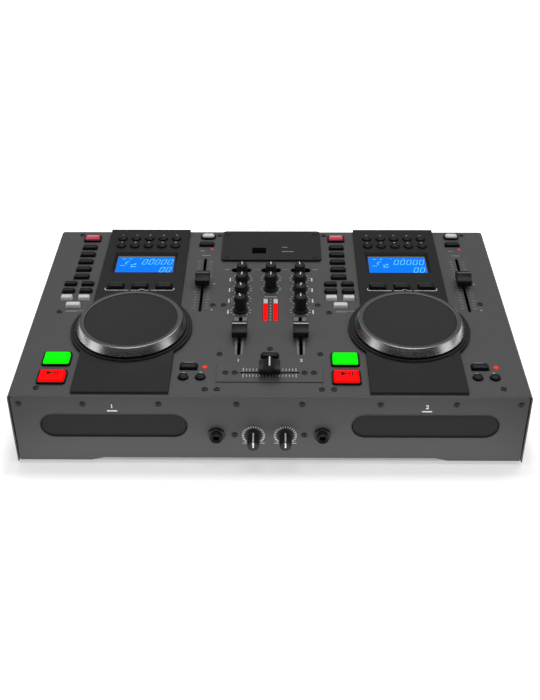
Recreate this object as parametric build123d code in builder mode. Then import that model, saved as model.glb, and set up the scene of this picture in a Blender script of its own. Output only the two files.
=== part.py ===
from build123d import *
import os
from math import atan2, cos, degrees, sin

# Table-top dual disc player with a two-channel mixer between its decks.
# Millimetres. X runs right, +Y runs back, +Z up. The origin is under the middle of the
# whole unit, on the surface that its feet stand on.

# ---- Cabinet ----
WIDTH = 482.0
DEPTH = 301.4
FRONT_HEIGHT = 79.2
BACK_HEIGHT = 85.2
FOOT_HEIGHT = 3.5
FOOT_RADIUS = 9.0
FOOT_INSET = 32.0
SHEET = 1.2
BEND_RADIUS = 4.0
PANEL_SHEET = 1.5
PANEL_INSET = 0.6
PANEL_GAP = 1.2
TRAY_FLANGE = 12.0
PANEL_BOTTOM = 1.3
FRONT_RELIEF_WIDTH = 316.0
FRONT_RELIEF_RISE = 3.0
FRONT_RELIEF_RAMP = 12.0
VENT_LENGTH = 44.0
VENT_WIDTH = 4.0
VENT_PITCH = 12.0
VENT_COUNT = 6

# ---- Decks: both carry the same controls, placed from the middle of the deck ----
DECK_X = 137.7
JOG_V = 104.9
PLATE_WIDTH = 90.0
PLATE_FRONT = 2.3
PLATE_LENGTH = 299.6
PLATE_THICKNESS = 3.0
PLATE_WINDOW = 78.0
JOG_RADIUS = 54.3
JOG_CLEARANCE = 0.4
JOG_CONE = 4.0
JOG_RIM = 4.5
JOG_TOP_RADIUS = JOG_RADIUS - JOG_CONE
JOG_MAT_RADIUS = JOG_TOP_RADIUS - JOG_RIM
FLANGE_WALL = 2.7
FLANGE_LEDGE = 2.7
FLANGE_STEP_RADIUS = JOG_RADIUS + JOG_CLEARANCE + FLANGE_WALL
FLANGE_RADIUS = FLANGE_STEP_RADIUS + FLANGE_LEDGE
FLANGE_HEIGHT = 4.2
JOG_BASE = 5.4
JOG_TOP = 14.0
JOG_MAT_DEPTH = 0.6
JOG_SHAFT_RADIUS = 4.0
JOG_BOSS_RADIUS = 8.5
JOG_BOSS_DROP = 12.0
ENCODER_RADIUS = 18.0
ENCODER_THICKNESS = 1.5
DISPLAY_WIDTH = 69.0
DISPLAY_DEPTH = 42.5
DISPLAY_V = 230.0
DISPLAY_BEZEL = 3.0
DISPLAY_BODY = 7.0
DISPLAY_CLEARANCE = 0.5

# ---- Keys ----
KEY_RISE = 3.2
TALL_KEY_RISE = 3.8
KEY_CLEARANCE = 0.4
KEY_BEVEL = 0.7
KEY_DRAFT = 40.0
KEY_FOOT = 1.2
SWITCH_GAP = 0.3
NUMBER_KEY_RADIUS = 5.3
NUMBER_KEY_SIDES = 12
NUMBER_KEY_PITCH = 15.15
NUMBER_KEY_V = (280.6, 264.8)
LOOP_KEY = (17.0, 8.6)
LOOP_KEY_PITCH = 25.3
LOOP_KEY_V = 180.0
MODE_KEY = (16.2, 8.0)
MODE_KEY_U = -65.3
MODE_KEY_V = 264.6
MODE_KEY_PITCH = 15.4
SEARCH_KEY = (13.0, 7.0)
SEARCH_KEY_U = (-74.7, -56.6)
SEARCH_KEY_V = (188.9, 175.2)
MEMORY_KEY = (12.4, 7.4)
MEMORY_KEY_V = 162.2
BANK_KEY = (15.4, 7.6)
BANK_KEY_U = -65.8
BANK_KEY_V = 148.3
TEMPO_KEY = (16.2, 8.0)
TEMPO_KEY_U = 65.0
TEMPO_KEY_V = 272.0
LOCK_KEY = (16.4, 9.2)
LOCK_KEY_U = 61.0
LOCK_KEY_V = 43.2
BEND_KEY_RADIUS = 4.9
BEND_KEY_U = (56.8, 72.9)
BEND_KEY_V = 27.4
TRANSPORT_KEY = (24.5, 18.0)
TRANSPORT_KEY_U = -65.8
CUE_KEY_V = 54.2
PLAY_KEY_V = 26.1
EJECT_KEY = (16.4, 9.6)
EJECT_KEY_U = -65.0
EJECT_KEY_V = 283.8
SOURCE_KEY = (14.4, 8.4)
SOURCE_KEY_U = 65.9
SOURCE_KEY_V = 289.3
START_KEY = (16.6, 7.6)
START_KEY_V = 60.7
BEZEL_LIP = 1.6
BEZEL_HEIGHT = 2.4

# ---- Faders ----
CAP_LENGTH = 20.0
CAP_WIDTH = 15.0
CAP_BASE = 4.2
CAP_EDGE = 1.3
CAP_TOP = 14.7
CAP_RIDGE = 3.2
CAP_HOLLOW = (0.36, 0.34)
BLADE_THICKNESS = 1.4
BLADE_WIDTH = 4.0
BOARD_DROP = 10.4
FRAME_WALL = 1.0
BLADE_CLEARANCE = 1.4
BLADE_DROP = BOARD_DROP - FRAME_WALL - BLADE_CLEARANCE
LAMP_CLEARANCE = 1.4
LAMP_DEPTH = BOARD_DROP - LAMP_CLEARANCE
PITCH_SLOT = (105.0, 3.0)
PITCH_U = 65.5
PITCH_V = 190.1
CHANNEL_SLOT = (65.0, 3.2)
CHANNEL_X = 30.1
CHANNEL_V = 95.6
CROSS_SLOT = (56.4, 2.0)
CROSS_V = 33.7
CROSS_PLATE = (100.4, 29.7)
CROSS_PLATE_V = 34.5
CROSS_PLATE_THICKNESS = 0.8
FRAME_WIDTH = 9.0
FRAME_TOP = -1.6
FRAME_END = 6.0

# ---- Knobs ----
KNOB_SKIRT_RADIUS = 7.5
KNOB_SKIRT_SIDES = 24
KNOB_SKIRT_HEIGHT = 2.2
KNOB_GRIP_RADIUS = 5.9
KNOB_GRIP_SIDES = 12
KNOB_GRIP_TAPER = 1.5
KNOB_HEIGHT = 18.3
KNOB_GAP = 0.5
SHAFT_RADIUS = 3.0
SHAFT_SIDES = 12
SHAFT_CLEARANCE = 0.1
SHAFT_DROP = 7.0
POT_SIZE = 10.0
KNOB_X = 30.6
KNOB_V = (201.0, 180.4, 159.8, 139.2)
LEVEL_KNOB_X = 15.0
LEVEL_KNOB_Z = 31.7
LEVEL_KNOB_HEIGHT = 15.5

# ---- Input switches, level meter, lamps ----
SWITCH_SLOT = (21.6, 8.6)
SWITCH_X = 32.0
SWITCH_V = 218.2
SWITCH_CAP = (7.0, 7.0)
SWITCH_CAP_RISE = 5.0
SWITCH_CAP_DRAFT = 3.0
METER_BAR = (5.6, 39.6)
METER_X = 5.2
METER_V = 141.6
LAMP_RADIUS = 1.6
TEMPO_LAMP = (71.6, 262.3)
LOCK_LAMP_RADIUS = 2.5
LOCK_LAMP = (76.2, 43.4)
USB_LAMP_RADIUS = 1.0
USB_LAMPS = ((8.9, 262.6), (8.9, 253.0))
LAMP_RISE = 0.8

# ---- Middle plate with its memory-stick slot ----
USB_PLATE = (109.8, 63.0)
USB_PLATE_V = 267.6
USB_PLATE_THICKNESS = 2.6
USB_PLATE_CORNER = 4.0
USB_SLOT = (15.4, 12.6)
USB_SLOT_X = -13.6
USB_SLOT_V = 255.6
USB_SHELL_WALL = 0.6
USB_SHELL_DEPTH = 16.0

# ---- Front panel: disc trays and jacks ----
TRAY_X = 145.4
TRAY_Z = 43.0
TRAY_CLEARANCE = 0.5
TRAY_FRONT_THICKNESS = 6.0
TRAY_RECESS = 0.9
DISC_RADIUS = 60.6
CARRIAGE_RIM = 3.4
CARRIAGE_TAIL = 26.8
CARRIAGE = (2 * (DISC_RADIUS + CARRIAGE_RIM), 2 * DISC_RADIUS + CARRIAGE_TAIL, 6.0)
CARRIAGE_CORNER = 6.0
TRAY_FRONT_CHEEK = 4.3
TRAY_FRONT = (CARRIAGE[0] + 2 * TRAY_FRONT_CHEEK, 25.3)
DISC_RECESS_DEPTH = 2.4
SPINDLE_SLOT = 34.0
DRIVE_WALL = 1.5
DRIVE_HEIGHT = 32.0
DRIVE_SIDE_GAP = 6.0
DRIVE_TAIL = 20.0
DRIVE_LENGTH = CARRIAGE[1] + DRIVE_TAIL
RUNNER_GAP = 0.3
RUNNER_HEIGHT = 3.0
SPINDLE_RADIUS = 11.0
DRIVE_LEG = 7.0
DRIVE_LEG_INSET = (15.0, 20.0)
JACK_X = 49.8
JACK_Z = 33.0
JACK_BORE_RADIUS = 3.2
JACK_BORE_LENGTH = 28.0
JACK_BARREL_RADIUS = 5.9
JACK_PROUD = 6.5
JACK_NUT_RADIUS = 8.4
JACK_NUT_HEIGHT = 2.4
JACK_NUT_SIDES = 6
JACK_BODY = (16.0, 18.0, 26.0)

# ---- Rear panel ----
SOCKET_PROUD = 9.4
SOCKET_RADIUS = 4.15
SOCKET_RING_RADIUS = 5.6
SOCKET_RING_RISE = 1.2
SOCKET_PIN_RADIUS = 1.6
SOCKET_PIN_DEPTH = 7.0
SOCKET_PITCH = (26.0, 19.0)
SOCKET_COLUMNS = 4
SOCKET_X = -60.0
SOCKET_Z = 44.0
SOCKET_BLOCK = 16.0
INLET_X = 186.0
INLET_Z = 40.0
INLET_FLANGE = (31.0, 24.0)
INLET_CAVITY = (24.4, 17.0)
INLET_CAVITY_DEPTH = 16.5
INLET_PIN = (2.0, 4.0, 12.0)
INLET_PIN_PITCH = 7.0
INLET_PIN_STEP = 2.0
INLET_LIP = 3.4
INLET_DEPTH = 20.0
INLET_FLANGE_THICKNESS = 2.0
INLET_CLEARANCE = 0.35
ROCKER_X = 146.0
ROCKER_HOLE = (13.0, 19.0)
ROCKER_LIP = 2.0
ROCKER_DEPTH = 16.0
ROCKER_OUT = 4.6
ROCKER_IN = 2.2
ROCKER_DIP = 1.0
ROCKER_SKIRT = 3.0
ROCKER_KEEL = 7.0

# ---- Circuit boards and power supply ----
BOARD = 1.6
MIXER_BOARD = (112.0, 200.0)
MIXER_BOARD_V = 122.0
KEY_BOARD = (29.0, 284.0)
KEY_BOARD_V = 152.0
PLATE_BOARD = (92.0, 128.0)
PLATE_BOARD_V = 230.0
FACE_BOARD = (44.0, 30.0)
MAIN_BOARD = (110.0, 120.0)
MAIN_BOARD_V = 160.0
MAIN_BOARD_RISE = 8.0
POST = 5.0
KEY_BOARD_POSTS = (80.0, 120.0)
PLATE_BOARD_POSTS = (41.0, 172.0, 290.0)
SUPPLY_BOARD = (74.0, 66.0)
SUPPLY_X = 170.0
SUPPLY_BACK_GAP = 62.0
TRANSFORMER = (34.0, 30.0, 26.0)
CAPACITOR_RADIUS = 8.0
CAPACITOR_HEIGHT = 24.0
CAPACITOR_PITCH = 19.2
SUPPLY_PARTS_FORWARD = 4.0
HEAT_SINK = (60.0, 3.0, 28.0)
HEAT_SINK_FINS = 5
HEAT_SINK_FIN = (1.6, 9.0)

# ---- Planes worked out from the sizes above ----
FRONT_PROUD = LEVEL_KNOB_HEIGHT + KNOB_GAP
FRONT_Y = FRONT_PROUD - (FRONT_PROUD + DEPTH + SOCKET_PROUD) / 2
BACK_Y = FRONT_Y + DEPTH
SLOPE = atan2(BACK_HEIGHT - FRONT_HEIGHT, DEPTH)
INSIDE_WIDTH = WIDTH - 2 * SHEET
FACE_WIDTH = WIDTH - 2 * (SHEET + PANEL_GAP)

# The sloping top: local x runs right, local y back along it, local z out of it.
DECK = Plane(
    origin=(0, FRONT_Y, FOOT_HEIGHT + FRONT_HEIGHT),
    x_dir=(1, 0, 0),
    z_dir=(0, -sin(SLOPE), cos(SLOPE)),
)
# The front: local x right, local y up from the cabinet's bottom, local z forwards.
FACE = Plane(origin=(0, FRONT_Y, FOOT_HEIGHT), x_dir=(1, 0, 0), z_dir=(0, -1, 0))
# The back, seen from behind: local x runs left.
BACK = Plane(origin=(0, BACK_Y, FOOT_HEIGHT), x_dir=(-1, 0, 0), z_dir=(0, 1, 0))
BACK_SKIN = BACK.offset(-PANEL_INSET)
FLOOR = Plane.XY.offset(FOOT_HEIGHT)

os.makedirs("parts", exist_ok=True)


def write(part, name):
    part.label = name
    export_step(part, "parts/" + name + ".step")


def on_deck(x, v, h=0.0):
    """A point given on the sloping top, in the part's own frame."""
    return DECK.from_local_coords((x, v, h))


def key_outline(kind, size, grow=0.0):
    """The outline of a key, or of its hole when it is grown."""
    if kind == "many_sided":
        RegularPolygon(size[0] / 2 + grow, NUMBER_KEY_SIDES)
    elif kind == "oval":
        SlotOverall(size[0] + 2 * grow, size[1] + 2 * grow)
    else:
        Rectangle(size[0] + 2 * grow, size[1] + 2 * grow)


def key(kind, size, place, rise=KEY_RISE, surface=0.0, underside=-SHEET):
    """A key cap through its sheet, with a wider foot that holds it in from below."""
    under = underside - SWITCH_GAP
    shoulder = surface + rise - KEY_BEVEL
    with BuildSketch(DECK.offset(under - KEY_FOOT)) as foot:
        with Locations(place):
            Rectangle(size[0] + 2 * KEY_FOOT, size[1] + 2 * KEY_FOOT)
    extrude(foot.sketch, amount=KEY_FOOT)
    with BuildSketch(DECK.offset(under)) as stem:
        with Locations(place):
            key_outline(kind, size)
    extrude(stem.sketch, amount=shoulder - under)
    with BuildSketch(DECK.offset(shoulder)) as top:
        with Locations(place):
            key_outline(kind, size)
    extrude(top.sketch, amount=KEY_BEVEL, taper=KEY_DRAFT)


def number_places(x):
    rows = len(NUMBER_KEY_V)
    return [
        (x + (column - 2) * NUMBER_KEY_PITCH, NUMBER_KEY_V[row])
        for row in range(rows)
        for column in range(5)
    ]


def loop_places(x):
    return [(x + step * LOOP_KEY_PITCH, LOOP_KEY_V) for step in (-1, 0, 1)]


def mode_places(x):
    return [(x + MODE_KEY_U, MODE_KEY_V - row * MODE_KEY_PITCH) for row in range(5)]


def search_places(x):
    return [(x + u, v) for v in SEARCH_KEY_V for u in SEARCH_KEY_U]


def memory_places(x):
    return [(x + u, MEMORY_KEY_V) for u in SEARCH_KEY_U]


def bend_places(x):
    return [(x + u, BEND_KEY_V) for u in BEND_KEY_U]


NUMBER_KEY = (2 * NUMBER_KEY_RADIUS, 2 * NUMBER_KEY_RADIUS)
BEND_KEY = (2 * BEND_KEY_RADIUS, 2 * BEND_KEY_RADIUS)
SIDES = {"left": -DECK_X, "right": DECK_X}


def bezel_keys(x):
    """The four keys of a deck that stand in a bezel of their own."""
    return [
        ("square", TRANSPORT_KEY, (x + TRANSPORT_KEY_U, CUE_KEY_V)),
        ("square", TRANSPORT_KEY, (x + TRANSPORT_KEY_U, PLAY_KEY_V)),
        ("square", EJECT_KEY, (x + EJECT_KEY_U, EJECT_KEY_V)),
        ("oval", SOURCE_KEY, (x + SOURCE_KEY_U, SOURCE_KEY_V)),
    ]


def cover_keys(x):
    """Every key of a deck that comes up through the steel cover."""
    keys = bezel_keys(x)
    keys += [("square", MODE_KEY, place) for place in mode_places(x)]
    keys += [("square", SEARCH_KEY, place) for place in search_places(x)]
    keys += [("square", MEMORY_KEY, place) for place in memory_places(x)]
    keys += [("square", BANK_KEY, (x + BANK_KEY_U, BANK_KEY_V))]
    keys += [("square", TEMPO_KEY, (x + TEMPO_KEY_U, TEMPO_KEY_V))]
    keys += [("square", LOCK_KEY, (x + LOCK_KEY_U, LOCK_KEY_V))]
    keys += [("many_sided", BEND_KEY, place) for place in bend_places(x)]
    return keys


def plate_keys(x):
    """Every key of a deck that comes up through its black plate."""
    keys = [("many_sided", NUMBER_KEY, place) for place in number_places(x)]
    keys += [("square", LOOP_KEY, place) for place in loop_places(x)]
    return keys


KNOB_PLACES = [(side * KNOB_X, v) for side in (-1, 1) for v in KNOB_V]
KNOB_PLACES += [(0.0, v) for v in KNOB_V[:2]]
SWITCH_PLACES = [(step * SWITCH_X, SWITCH_V) for step in (-1, 0, 1)]


# ---- Top cover: one sheet bent down at both sides ----
SECTION = Plane(
    origin=DECK.origin - DECK.y_dir * BEND_RADIUS, x_dir=(1, 0, 0), z_dir=-DECK.y_dir
)
with BuildPart() as top_cover:
    with BuildSketch(SECTION) as bent_sheet:
        Rectangle(WIDTH, 2 * BACK_HEIGHT, align=(Align.CENTER, Align.MAX))
        fillet(bent_sheet.vertices().group_by(Axis.Y)[-1], BEND_RADIUS)
        offset(amount=-SHEET, mode=Mode.SUBTRACT)
    extrude(amount=-(DEPTH + 3 * BEND_RADIUS))
    split(bisect_by=FLOOR, keep=Keep.TOP)
    split(bisect_by=FACE, keep=Keep.BOTTOM)
    split(bisect_by=BACK, keep=Keep.BOTTOM)
    with BuildSketch(DECK.offset(-2 * SHEET)):
        for x in SIDES.values():
            for kind, size, place in cover_keys(x):
                with Locations(place):
                    key_outline(kind, size, KEY_CLEARANCE)
            with Locations((x, (NUMBER_KEY_V[0] + NUMBER_KEY_V[-1]) / 2)):
                Rectangle(PLATE_WINDOW, NUMBER_KEY_V[0] - NUMBER_KEY_V[-1] + NUMBER_KEY_PITCH)
            with Locations((x, LOOP_KEY_V)):
                Rectangle(PLATE_WINDOW, LOOP_KEY[1] + 4 * KEY_FOOT)
            with Locations((x, DISPLAY_V)):
                Rectangle(DISPLAY_WIDTH, DISPLAY_DEPTH)
            with Locations((x, JOG_V)):
                Circle(JOG_BOSS_RADIUS + KEY_CLEARANCE)
            with Locations((x + PITCH_U, PITCH_V)):
                SlotOverall(*PITCH_SLOT, rotation=90)
            with Locations((x + TEMPO_LAMP[0], TEMPO_LAMP[1])):
                Circle(LAMP_RADIUS + SHAFT_CLEARANCE)
            with Locations((x + LOCK_LAMP[0], LOCK_LAMP[1])):
                Circle(LOCK_LAMP_RADIUS + SHAFT_CLEARANCE)
        with Locations((-CHANNEL_X, CHANNEL_V), (CHANNEL_X, CHANNEL_V)):
            SlotOverall(*CHANNEL_SLOT, rotation=90)
        with Locations(KNOB_PLACES):
            Circle(SHAFT_RADIUS + KNOB_GAP)
        with Locations(SWITCH_PLACES):
            SlotOverall(*SWITCH_SLOT)
        with Locations((-METER_X, METER_V), (METER_X, METER_V)):
            Rectangle(METER_BAR[0] + 2 * SHAFT_CLEARANCE, METER_BAR[1] + 2 * SHAFT_CLEARANCE)
        with Locations((0, START_KEY_V)):
            key_outline("square", START_KEY, KEY_CLEARANCE)
        with Locations((0, CROSS_V)):
            Rectangle(CROSS_SLOT[0] + FRAME_END, CROSS_PLATE[1] / 2)
        with Locations((USB_SLOT_X, USB_SLOT_V)):
            Rectangle(USB_SLOT[0] + 4 * USB_SHELL_WALL, USB_SLOT[1] + 4 * USB_SHELL_WALL)
        for x, v in USB_LAMPS:
            with Locations((x, v)):
                Circle(USB_LAMP_RADIUS + SHAFT_CLEARANCE)
    extrude(amount=4 * SHEET, mode=Mode.SUBTRACT)
write(top_cover.part, "top_cover")


# ---- Base tray: the bottom sheet with an upturned flange and vents ----
BASE_VENT_Y = FRONT_Y + DRIVE_LENGTH / 2
with BuildPart() as base_tray:
    with BuildSketch(FLOOR):
        with Locations((0, (FRONT_Y + BACK_Y) / 2)):
            Rectangle(
                INSIDE_WIDTH - 2 * KEY_CLEARANCE,
                DEPTH - 2 * (PANEL_INSET + PANEL_SHEET + KEY_CLEARANCE),
            )
    extrude(amount=TRAY_FLANGE)
    openings = base_tray.faces().sort_by(Axis.Z)[-1]
    offset(amount=-SHEET, openings=openings)
    with BuildSketch(FLOOR):
        for side in (-1, 1):
            with Locations((side * TRAY_X, BASE_VENT_Y)):
                with GridLocations(VENT_PITCH, 0, VENT_COUNT, 1):
                    Rectangle(VENT_WIDTH, VENT_LENGTH)
    extrude(amount=SHEET, mode=Mode.SUBTRACT)
write(base_tray.part, "base_tray")


# ---- Rubber feet ----
with BuildPart() as rubber_feet:
    with BuildSketch(Plane.XY):
        with Locations((0, (FRONT_Y + BACK_Y) / 2)):
            with GridLocations(WIDTH - 2 * FOOT_INSET, DEPTH - 2 * FOOT_INSET, 2, 2):
                Circle(FOOT_RADIUS)
    extrude(amount=FOOT_HEIGHT)
write(rubber_feet.part, "rubber_feet")


# ---- Front panel: relieved along the middle of its bottom edge ----
FACE_TOP = FRONT_HEIGHT - SHEET - KEY_CLEARANCE
with BuildPart() as front_panel:
    with BuildSketch(FACE.offset(-PANEL_INSET - PANEL_SHEET)) as face_outline:
        with Locations((0, (FACE_TOP + PANEL_BOTTOM) / 2)):
            Rectangle(FACE_WIDTH, FACE_TOP - PANEL_BOTTOM)
        fillet(face_outline.vertices().group_by(Axis.Y)[-1], BEND_RADIUS - SHEET)
        with Locations((0, PANEL_BOTTOM + FRONT_RELIEF_RISE)):
            Trapezoid(
                FRONT_RELIEF_WIDTH + 4 * FRONT_RELIEF_RAMP,
                2 * FRONT_RELIEF_RISE,
                degrees(atan2(FRONT_RELIEF_RISE, FRONT_RELIEF_RAMP)),
                align=(Align.CENTER, Align.MAX),
                mode=Mode.SUBTRACT,
            )
        with Locations((-TRAY_X, TRAY_Z), (TRAY_X, TRAY_Z)):
            SlotOverall(*TRAY_FRONT, mode=Mode.SUBTRACT)
        with Locations((-JACK_X, JACK_Z), (JACK_X, JACK_Z)):
            Circle(JACK_BARREL_RADIUS + SHAFT_CLEARANCE, mode=Mode.SUBTRACT)
        with Locations((-LEVEL_KNOB_X, LEVEL_KNOB_Z), (LEVEL_KNOB_X, LEVEL_KNOB_Z)):
            Circle(SHAFT_RADIUS + KNOB_GAP, mode=Mode.SUBTRACT)
    extrude(amount=PANEL_SHEET)
write(front_panel.part, "front_panel")


# ---- Rear panel: vents, sockets, mains inlet and switch ----
BACK_TOP = BACK_HEIGHT - SHEET - KEY_CLEARANCE
with BuildPart() as rear_panel:
    with BuildSketch(BACK.offset(-PANEL_INSET - PANEL_SHEET)) as back_outline:
        with Locations((0, (BACK_TOP + PANEL_BOTTOM) / 2)):
            Rectangle(FACE_WIDTH, BACK_TOP - PANEL_BOTTOM)
        fillet(back_outline.vertices().group_by(Axis.Y)[-1], BEND_RADIUS - SHEET)
        with Locations((-SOCKET_X, SOCKET_Z)):
            with GridLocations(*SOCKET_PITCH, SOCKET_COLUMNS, 2):
                Circle(SOCKET_RING_RADIUS + SHAFT_CLEARANCE, mode=Mode.SUBTRACT)
        with Locations((-INLET_X, INLET_Z)):
            Rectangle(
                INLET_FLANGE[0] - INLET_LIP + 2 * INLET_CLEARANCE,
                INLET_FLANGE[1] - INLET_LIP + 2 * INLET_CLEARANCE,
                mode=Mode.SUBTRACT,
            )
        with Locations((-ROCKER_X, INLET_Z)):
            Rectangle(
                ROCKER_HOLE[0] + ROCKER_LIP + 2 * INLET_CLEARANCE,
                ROCKER_HOLE[1] + ROCKER_LIP + 2 * INLET_CLEARANCE,
                mode=Mode.SUBTRACT,
            )
        with Locations((DECK_X, INLET_Z)):
            with GridLocations(VENT_PITCH, 0, VENT_COUNT, 1):
                Rectangle(VENT_WIDTH, VENT_LENGTH, mode=Mode.SUBTRACT)
    extrude(amount=PANEL_SHEET)
write(rear_panel.part, "rear_panel")


# ---- Deck plates, display modules and jog wheels ----
for side, x in SIDES.items():
    with BuildPart() as deck_plate:
        with BuildSketch(DECK):
            with Locations((x, PLATE_FRONT + PLATE_LENGTH / 2)):
                Rectangle(PLATE_WIDTH, PLATE_LENGTH)
            with Locations((x, JOG_V)):
                Circle(FLANGE_RADIUS)
        extrude(amount=PLATE_THICKNESS)
        with BuildSketch(DECK.offset(PLATE_THICKNESS)):
            with Locations((x, JOG_V)):
                Circle(FLANGE_STEP_RADIUS)
                Circle(JOG_RADIUS + JOG_CLEARANCE, mode=Mode.SUBTRACT)
        extrude(amount=FLANGE_HEIGHT - PLATE_THICKNESS)
        with BuildSketch(DECK.offset(-JOG_BOSS_DROP)):
            with Locations((x, JOG_V)):
                Circle(JOG_BOSS_RADIUS)
        extrude(amount=JOG_BOSS_DROP)
        with BuildSketch(DECK.offset(-JOG_BOSS_DROP)):
            with Locations((x, JOG_V)):
                Circle(JOG_SHAFT_RADIUS + SHAFT_CLEARANCE)
        extrude(amount=JOG_BOSS_DROP + PLATE_THICKNESS, mode=Mode.SUBTRACT)
        with BuildSketch(DECK.offset(PLATE_THICKNESS)):
            with Locations((x, DISPLAY_V)):
                Rectangle(DISPLAY_WIDTH, DISPLAY_DEPTH)
        extrude(amount=-PLATE_THICKNESS, taper=degrees(atan2(DISPLAY_BEZEL, PLATE_THICKNESS)),
                mode=Mode.SUBTRACT)
        with BuildSketch(DECK):
            for kind, size, place in plate_keys(x):
                with Locations(place):
                    key_outline(kind, size, KEY_CLEARANCE)
        extrude(amount=PLATE_THICKNESS, mode=Mode.SUBTRACT)
    write(deck_plate.part, "deck_plate_" + side)

    JOG = Plane(origin=on_deck(x, JOG_V), x_dir=(1, 0, 0), z_dir=-DECK.y_dir)
    with BuildPart() as jog_wheel:
        with BuildSketch(JOG):
            with BuildLine():
                Polyline(
                    (0, JOG_TOP - JOG_MAT_DEPTH),
                    (JOG_MAT_RADIUS, JOG_TOP - JOG_MAT_DEPTH),
                    (JOG_MAT_RADIUS, JOG_TOP),
                    (JOG_TOP_RADIUS, JOG_TOP),
                    (JOG_RADIUS, JOG_BASE),
                    (JOG_SHAFT_RADIUS, JOG_BASE),
                    (JOG_SHAFT_RADIUS, -JOG_BOSS_DROP - SWITCH_GAP),
                    (ENCODER_RADIUS, -JOG_BOSS_DROP - SWITCH_GAP),
                    (ENCODER_RADIUS, -JOG_BOSS_DROP - SWITCH_GAP - ENCODER_THICKNESS),
                    (0, -JOG_BOSS_DROP - SWITCH_GAP - ENCODER_THICKNESS),
                    close=True,
                )
            make_face()
        revolve(axis=Axis(JOG.origin, DECK.z_dir))
    write(jog_wheel.part, "jog_wheel_" + side)

with BuildPart() as display_modules:
    for x in SIDES.values():
        with BuildSketch(DECK.offset(-DISPLAY_BODY)):
            with Locations((x, DISPLAY_V)):
                Rectangle(
                    DISPLAY_WIDTH - 2 * DISPLAY_CLEARANCE, DISPLAY_DEPTH - 2 * DISPLAY_CLEARANCE
                )
        extrude(amount=DISPLAY_BODY)
write(display_modules.part, "display_modules")


# ---- Keys of each deck ----
for side, x in SIDES.items():
    with BuildPart() as number_keys:
        for place in number_places(x):
            key("many_sided", NUMBER_KEY, place, KEY_RISE, PLATE_THICKNESS, 0.0)
    write(number_keys.part, "number_keys_" + side)

    with BuildPart() as loop_keys:
        for place in loop_places(x):
            key("square", LOOP_KEY, place, KEY_RISE, PLATE_THICKNESS, 0.0)
    write(loop_keys.part, "loop_keys_" + side)

    with BuildPart() as mode_keys:
        for place in mode_places(x):
            key("square", MODE_KEY, place)
    write(mode_keys.part, "mode_keys_" + side)

    with BuildPart() as search_keys:
        for place in search_places(x):
            key("square", SEARCH_KEY, place)
        for place in memory_places(x):
            key("square", MEMORY_KEY, place)
        key("square", BANK_KEY, (x + BANK_KEY_U, BANK_KEY_V))
    write(search_keys.part, "search_keys_" + side)

    with BuildPart() as tempo_keys:
        key("oval", SOURCE_KEY, (x + SOURCE_KEY_U, SOURCE_KEY_V), TALL_KEY_RISE)
        key("square", TEMPO_KEY, (x + TEMPO_KEY_U, TEMPO_KEY_V))
        key("square", LOCK_KEY, (x + LOCK_KEY_U, LOCK_KEY_V))
        for place in bend_places(x):
            key("many_sided", BEND_KEY, place)
    write(tempo_keys.part, "tempo_keys_" + side)

    with BuildPart() as cue_key:
        key("square", TRANSPORT_KEY, (x + TRANSPORT_KEY_U, CUE_KEY_V), TALL_KEY_RISE)
    write(cue_key.part, "cue_key_" + side)

    with BuildPart() as play_key:
        key("square", TRANSPORT_KEY, (x + TRANSPORT_KEY_U, PLAY_KEY_V), TALL_KEY_RISE)
    write(play_key.part, "play_key_" + side)

    with BuildPart() as eject_key:
        key("square", EJECT_KEY, (x + EJECT_KEY_U, EJECT_KEY_V), TALL_KEY_RISE)
    write(eject_key.part, "eject_key_" + side)

with BuildPart() as start_key:
    key("square", START_KEY, (0.0, START_KEY_V))
write(start_key.part, "start_key")

with BuildPart() as key_bezels:
    for x in SIDES.values():
        for kind, size, place in bezel_keys(x):
            with BuildSketch(DECK):
                with Locations(place):
                    key_outline(kind, size, BEZEL_LIP)
            extrude(amount=BEZEL_HEIGHT)
            with BuildSketch(DECK):
                with Locations(place):
                    key_outline(kind, size, KEY_CLEARANCE)
            extrude(amount=BEZEL_HEIGHT, mode=Mode.SUBTRACT)
write(key_bezels.part, "key_bezels")


# ---- Faders: a cap with hollowed flanks on a thin blade ----
def fader(x, v, slide, name):
    along = DECK.y_dir if slide == "lengthwise" else DECK.x_dir
    side_view = Plane(origin=on_deck(x, v), x_dir=along, z_dir=along.cross(DECK.z_dir))
    half = CAP_LENGTH / 2
    ridge = CAP_RIDGE / 2
    shoulder = CAP_BASE + CAP_EDGE
    hollow = (
        ridge + CAP_HOLLOW[0] * (half - ridge),
        shoulder + CAP_HOLLOW[1] * (CAP_TOP - shoulder),
    )
    with BuildPart() as cap:
        with BuildSketch(side_view.offset(-CAP_WIDTH / 2)):
            with BuildLine():
                Polyline((-half, shoulder), (-half, CAP_BASE), (half, CAP_BASE), (half, shoulder))
                ThreePointArc((half, shoulder), hollow, (ridge, CAP_TOP))
                Line((ridge, CAP_TOP), (-ridge, CAP_TOP))
                ThreePointArc((-ridge, CAP_TOP), (-hollow[0], hollow[1]), (-half, shoulder))
            make_face()
        extrude(amount=CAP_WIDTH)
        with BuildSketch(side_view.offset(-BLADE_THICKNESS / 2)):
            with Locations((0, CAP_BASE)):
                Rectangle(BLADE_WIDTH, CAP_BASE + BLADE_DROP, align=(Align.CENTER, Align.MAX))
        extrude(amount=BLADE_THICKNESS)
    write(cap.part, name)


for side, x in SIDES.items():
    fader(x + PITCH_U, PITCH_V, "lengthwise", "pitch_fader_" + side)
fader(-CHANNEL_X, CHANNEL_V, "lengthwise", "channel_fader_left")
fader(CHANNEL_X, CHANNEL_V, "lengthwise", "channel_fader_right")
fader(0.0, CROSS_V, "crosswise", "crossfader")


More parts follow.
